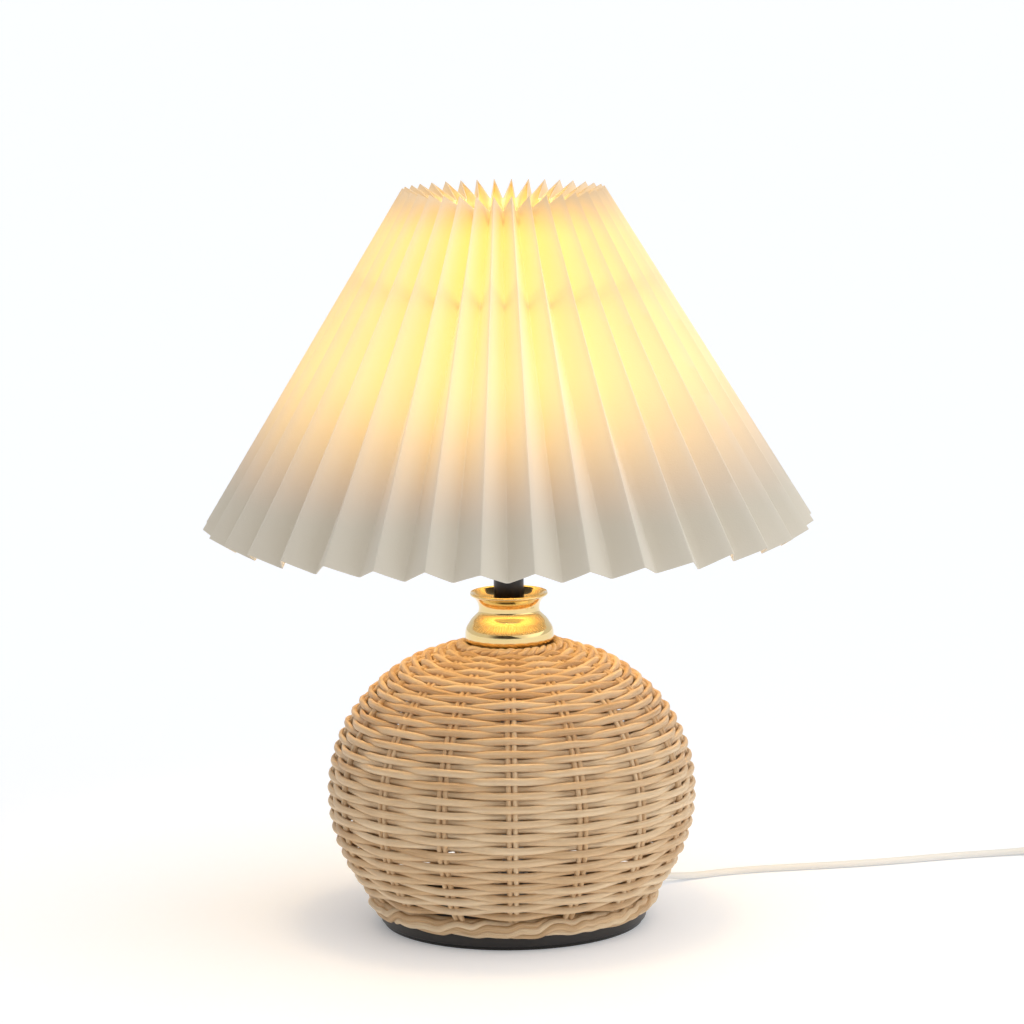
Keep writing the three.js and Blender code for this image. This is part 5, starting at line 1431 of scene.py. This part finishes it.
tilted = Matrix.Rotation(rocker_tilt, 3, "Y")
for side, pull in rocker_ends:
    rocker_rings.append([pivot + tilted @ Vector((x * pull, side * half_width, z * pull))
                         for x, z in rocker_section])
bore = loft("rocker_bore", [
    [(pivot.x + pin_bore * math.cos(turn), pivot.y + y, pivot.z + pin_bore * math.sin(turn))
     for turn in rocker_bore_turns] for y in (-0.01, 0.01)])
rocker = finished("rocker_key", hollowed(loft("rocker_key", rocker_rings), [bore]), switch_plastic, "rocker",
                  smooth_angle=35)
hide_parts("switch_rocker")
for name in ("switch_screw_1", "switch_screw_2", "rocker_pin"):
    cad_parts[name].data.materials[0] = zinc
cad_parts["switch_contact"].data.materials[0] = contact_alloy

# ---------------------------------------------------------------------------------------------
# Plug: flat two-pin plug moulded in white PVC round its pins, which are nickel plated and
# sleeved next to the face.
# ---------------------------------------------------------------------------------------------
plug_low, plug_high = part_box("plug_body")
plug_x, plug_z = (plug_low.x + plug_high.x) / 2, (plug_low.z + plug_high.z) / 2
plug_back = plug_high.y
plug_stations = [(0.0, 0.0046, 0.0042), (0.0006, 0.0055, 0.0052), (0.008, 0.0055, 0.0058),
                 (0.012, 0.0075, 0.0062), (0.016, 0.0115, 0.0066), (0.020, 0.0158, 0.0067),
                 (0.0235, 0.0174, 0.0067), (0.0345, 0.0175, 0.0067), (0.0356, 0.0170, 0.0062),
                 (0.036, 0.0162, 0.0054)]
plug_roundness = 3.2
plug_sides = 48
pin_gap = 0.0186 / 2
plug_pin_radius, plug_shaft_radius = 0.002, 0.0012
plug_pin_length, plug_sleeve_length = 0.019, 0.010


def squarish(width, height, sides, power):
    """A superellipse with those half sizes."""
    ring = []
    for k in range(sides):
        angle = 2 * math.pi * k / sides
        c, s = math.cos(angle), math.sin(angle)
        ring.append((math.copysign(abs(c) ** (2 / power), c) * width,
                     math.copysign(abs(s) ** (2 / power), s) * height))
    return ring


plug_line = smooth_run([(back, half, thick) for back, half, thick in plug_stations], 0.0012)
plug_rings = [[(plug_x + x, plug_back - back, plug_z + z)
               for x, z in squarish(half, thick, plug_sides, plug_roundness)]
              for back, half, thick in plug_line]
plug_face = plug_back - plug_stations[-1][0]
sleeve_end = plug_face - plug_sleeve_length
bore_radius = plug_shaft_radius + 0.0002
bore_sides = 16
bore_turns = [2 * math.pi * k / bore_sides for k in range(bore_sides)]
pin_bores = []
for side in (-1, 1):
    x = plug_x + side * pin_gap
    pin_bores.append(loft("pin_bore", [
        [(x + bore_radius * math.cos(turn), y, plug_z + bore_radius * math.sin(turn)) for turn in bore_turns]
        for y in (sleeve_end - 0.001, plug_face + 0.0083)]))
plug_body = finished("plug_moulding", hollowed(loft("plug_moulding", plug_rings), pin_bores), pvc,
                     smooth_angle=40)
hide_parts("plug_body")


def along_plug(name, profile, x):
    """A round piece on a pin's axis, from its closed profile of (radius, distance out of the face)."""
    mesh = turned(name, profile, 32)
    mesh.transform(Matrix.Translation((x, plug_face, plug_z)) @ Matrix.Rotation(math.radians(90), 4, "X"))
    return mesh


sleeve_plastic = marked("pin_sleeve_plastic", (0.62, 0.61, 0.58), 0.45)[0]
plug_pieces = [plug_body]
for number, side in ((1, -1), (2, 1)):
    x = plug_x + side * pin_gap
    sleeve_profile_here = rounded_profile(
        [(bore_radius, 0.0001), (plug_pin_radius, 0.0001),
         (plug_pin_radius, plug_sleeve_length), (bore_radius, plug_sleeve_length)],
        [0, 0, 0.0002, 0])
    pin_profile = rounded_profile(
        [(0, -0.008), (plug_shaft_radius, -0.008), (plug_shaft_radius, plug_sleeve_length + 0.0003),
         (plug_pin_radius, plug_sleeve_length + 0.0003), (plug_pin_radius, plug_pin_length),
         (0, plug_pin_length)],
        [0, 0.0002, 0, 0.0002, 0.0014, 0])
    pin_sleeve = finished(f"pin_sleeve_{number}", along_plug(f"pin_sleeve_{number}", sleeve_profile_here, x),
                          sleeve_plastic)
    pin = finished(f"mains_pin_{number}", along_plug(f"mains_pin_{number}", pin_profile, x), nickel)
    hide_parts(f"plug_pin_{number}")
    plug_pieces += [pin_sleeve, pin]
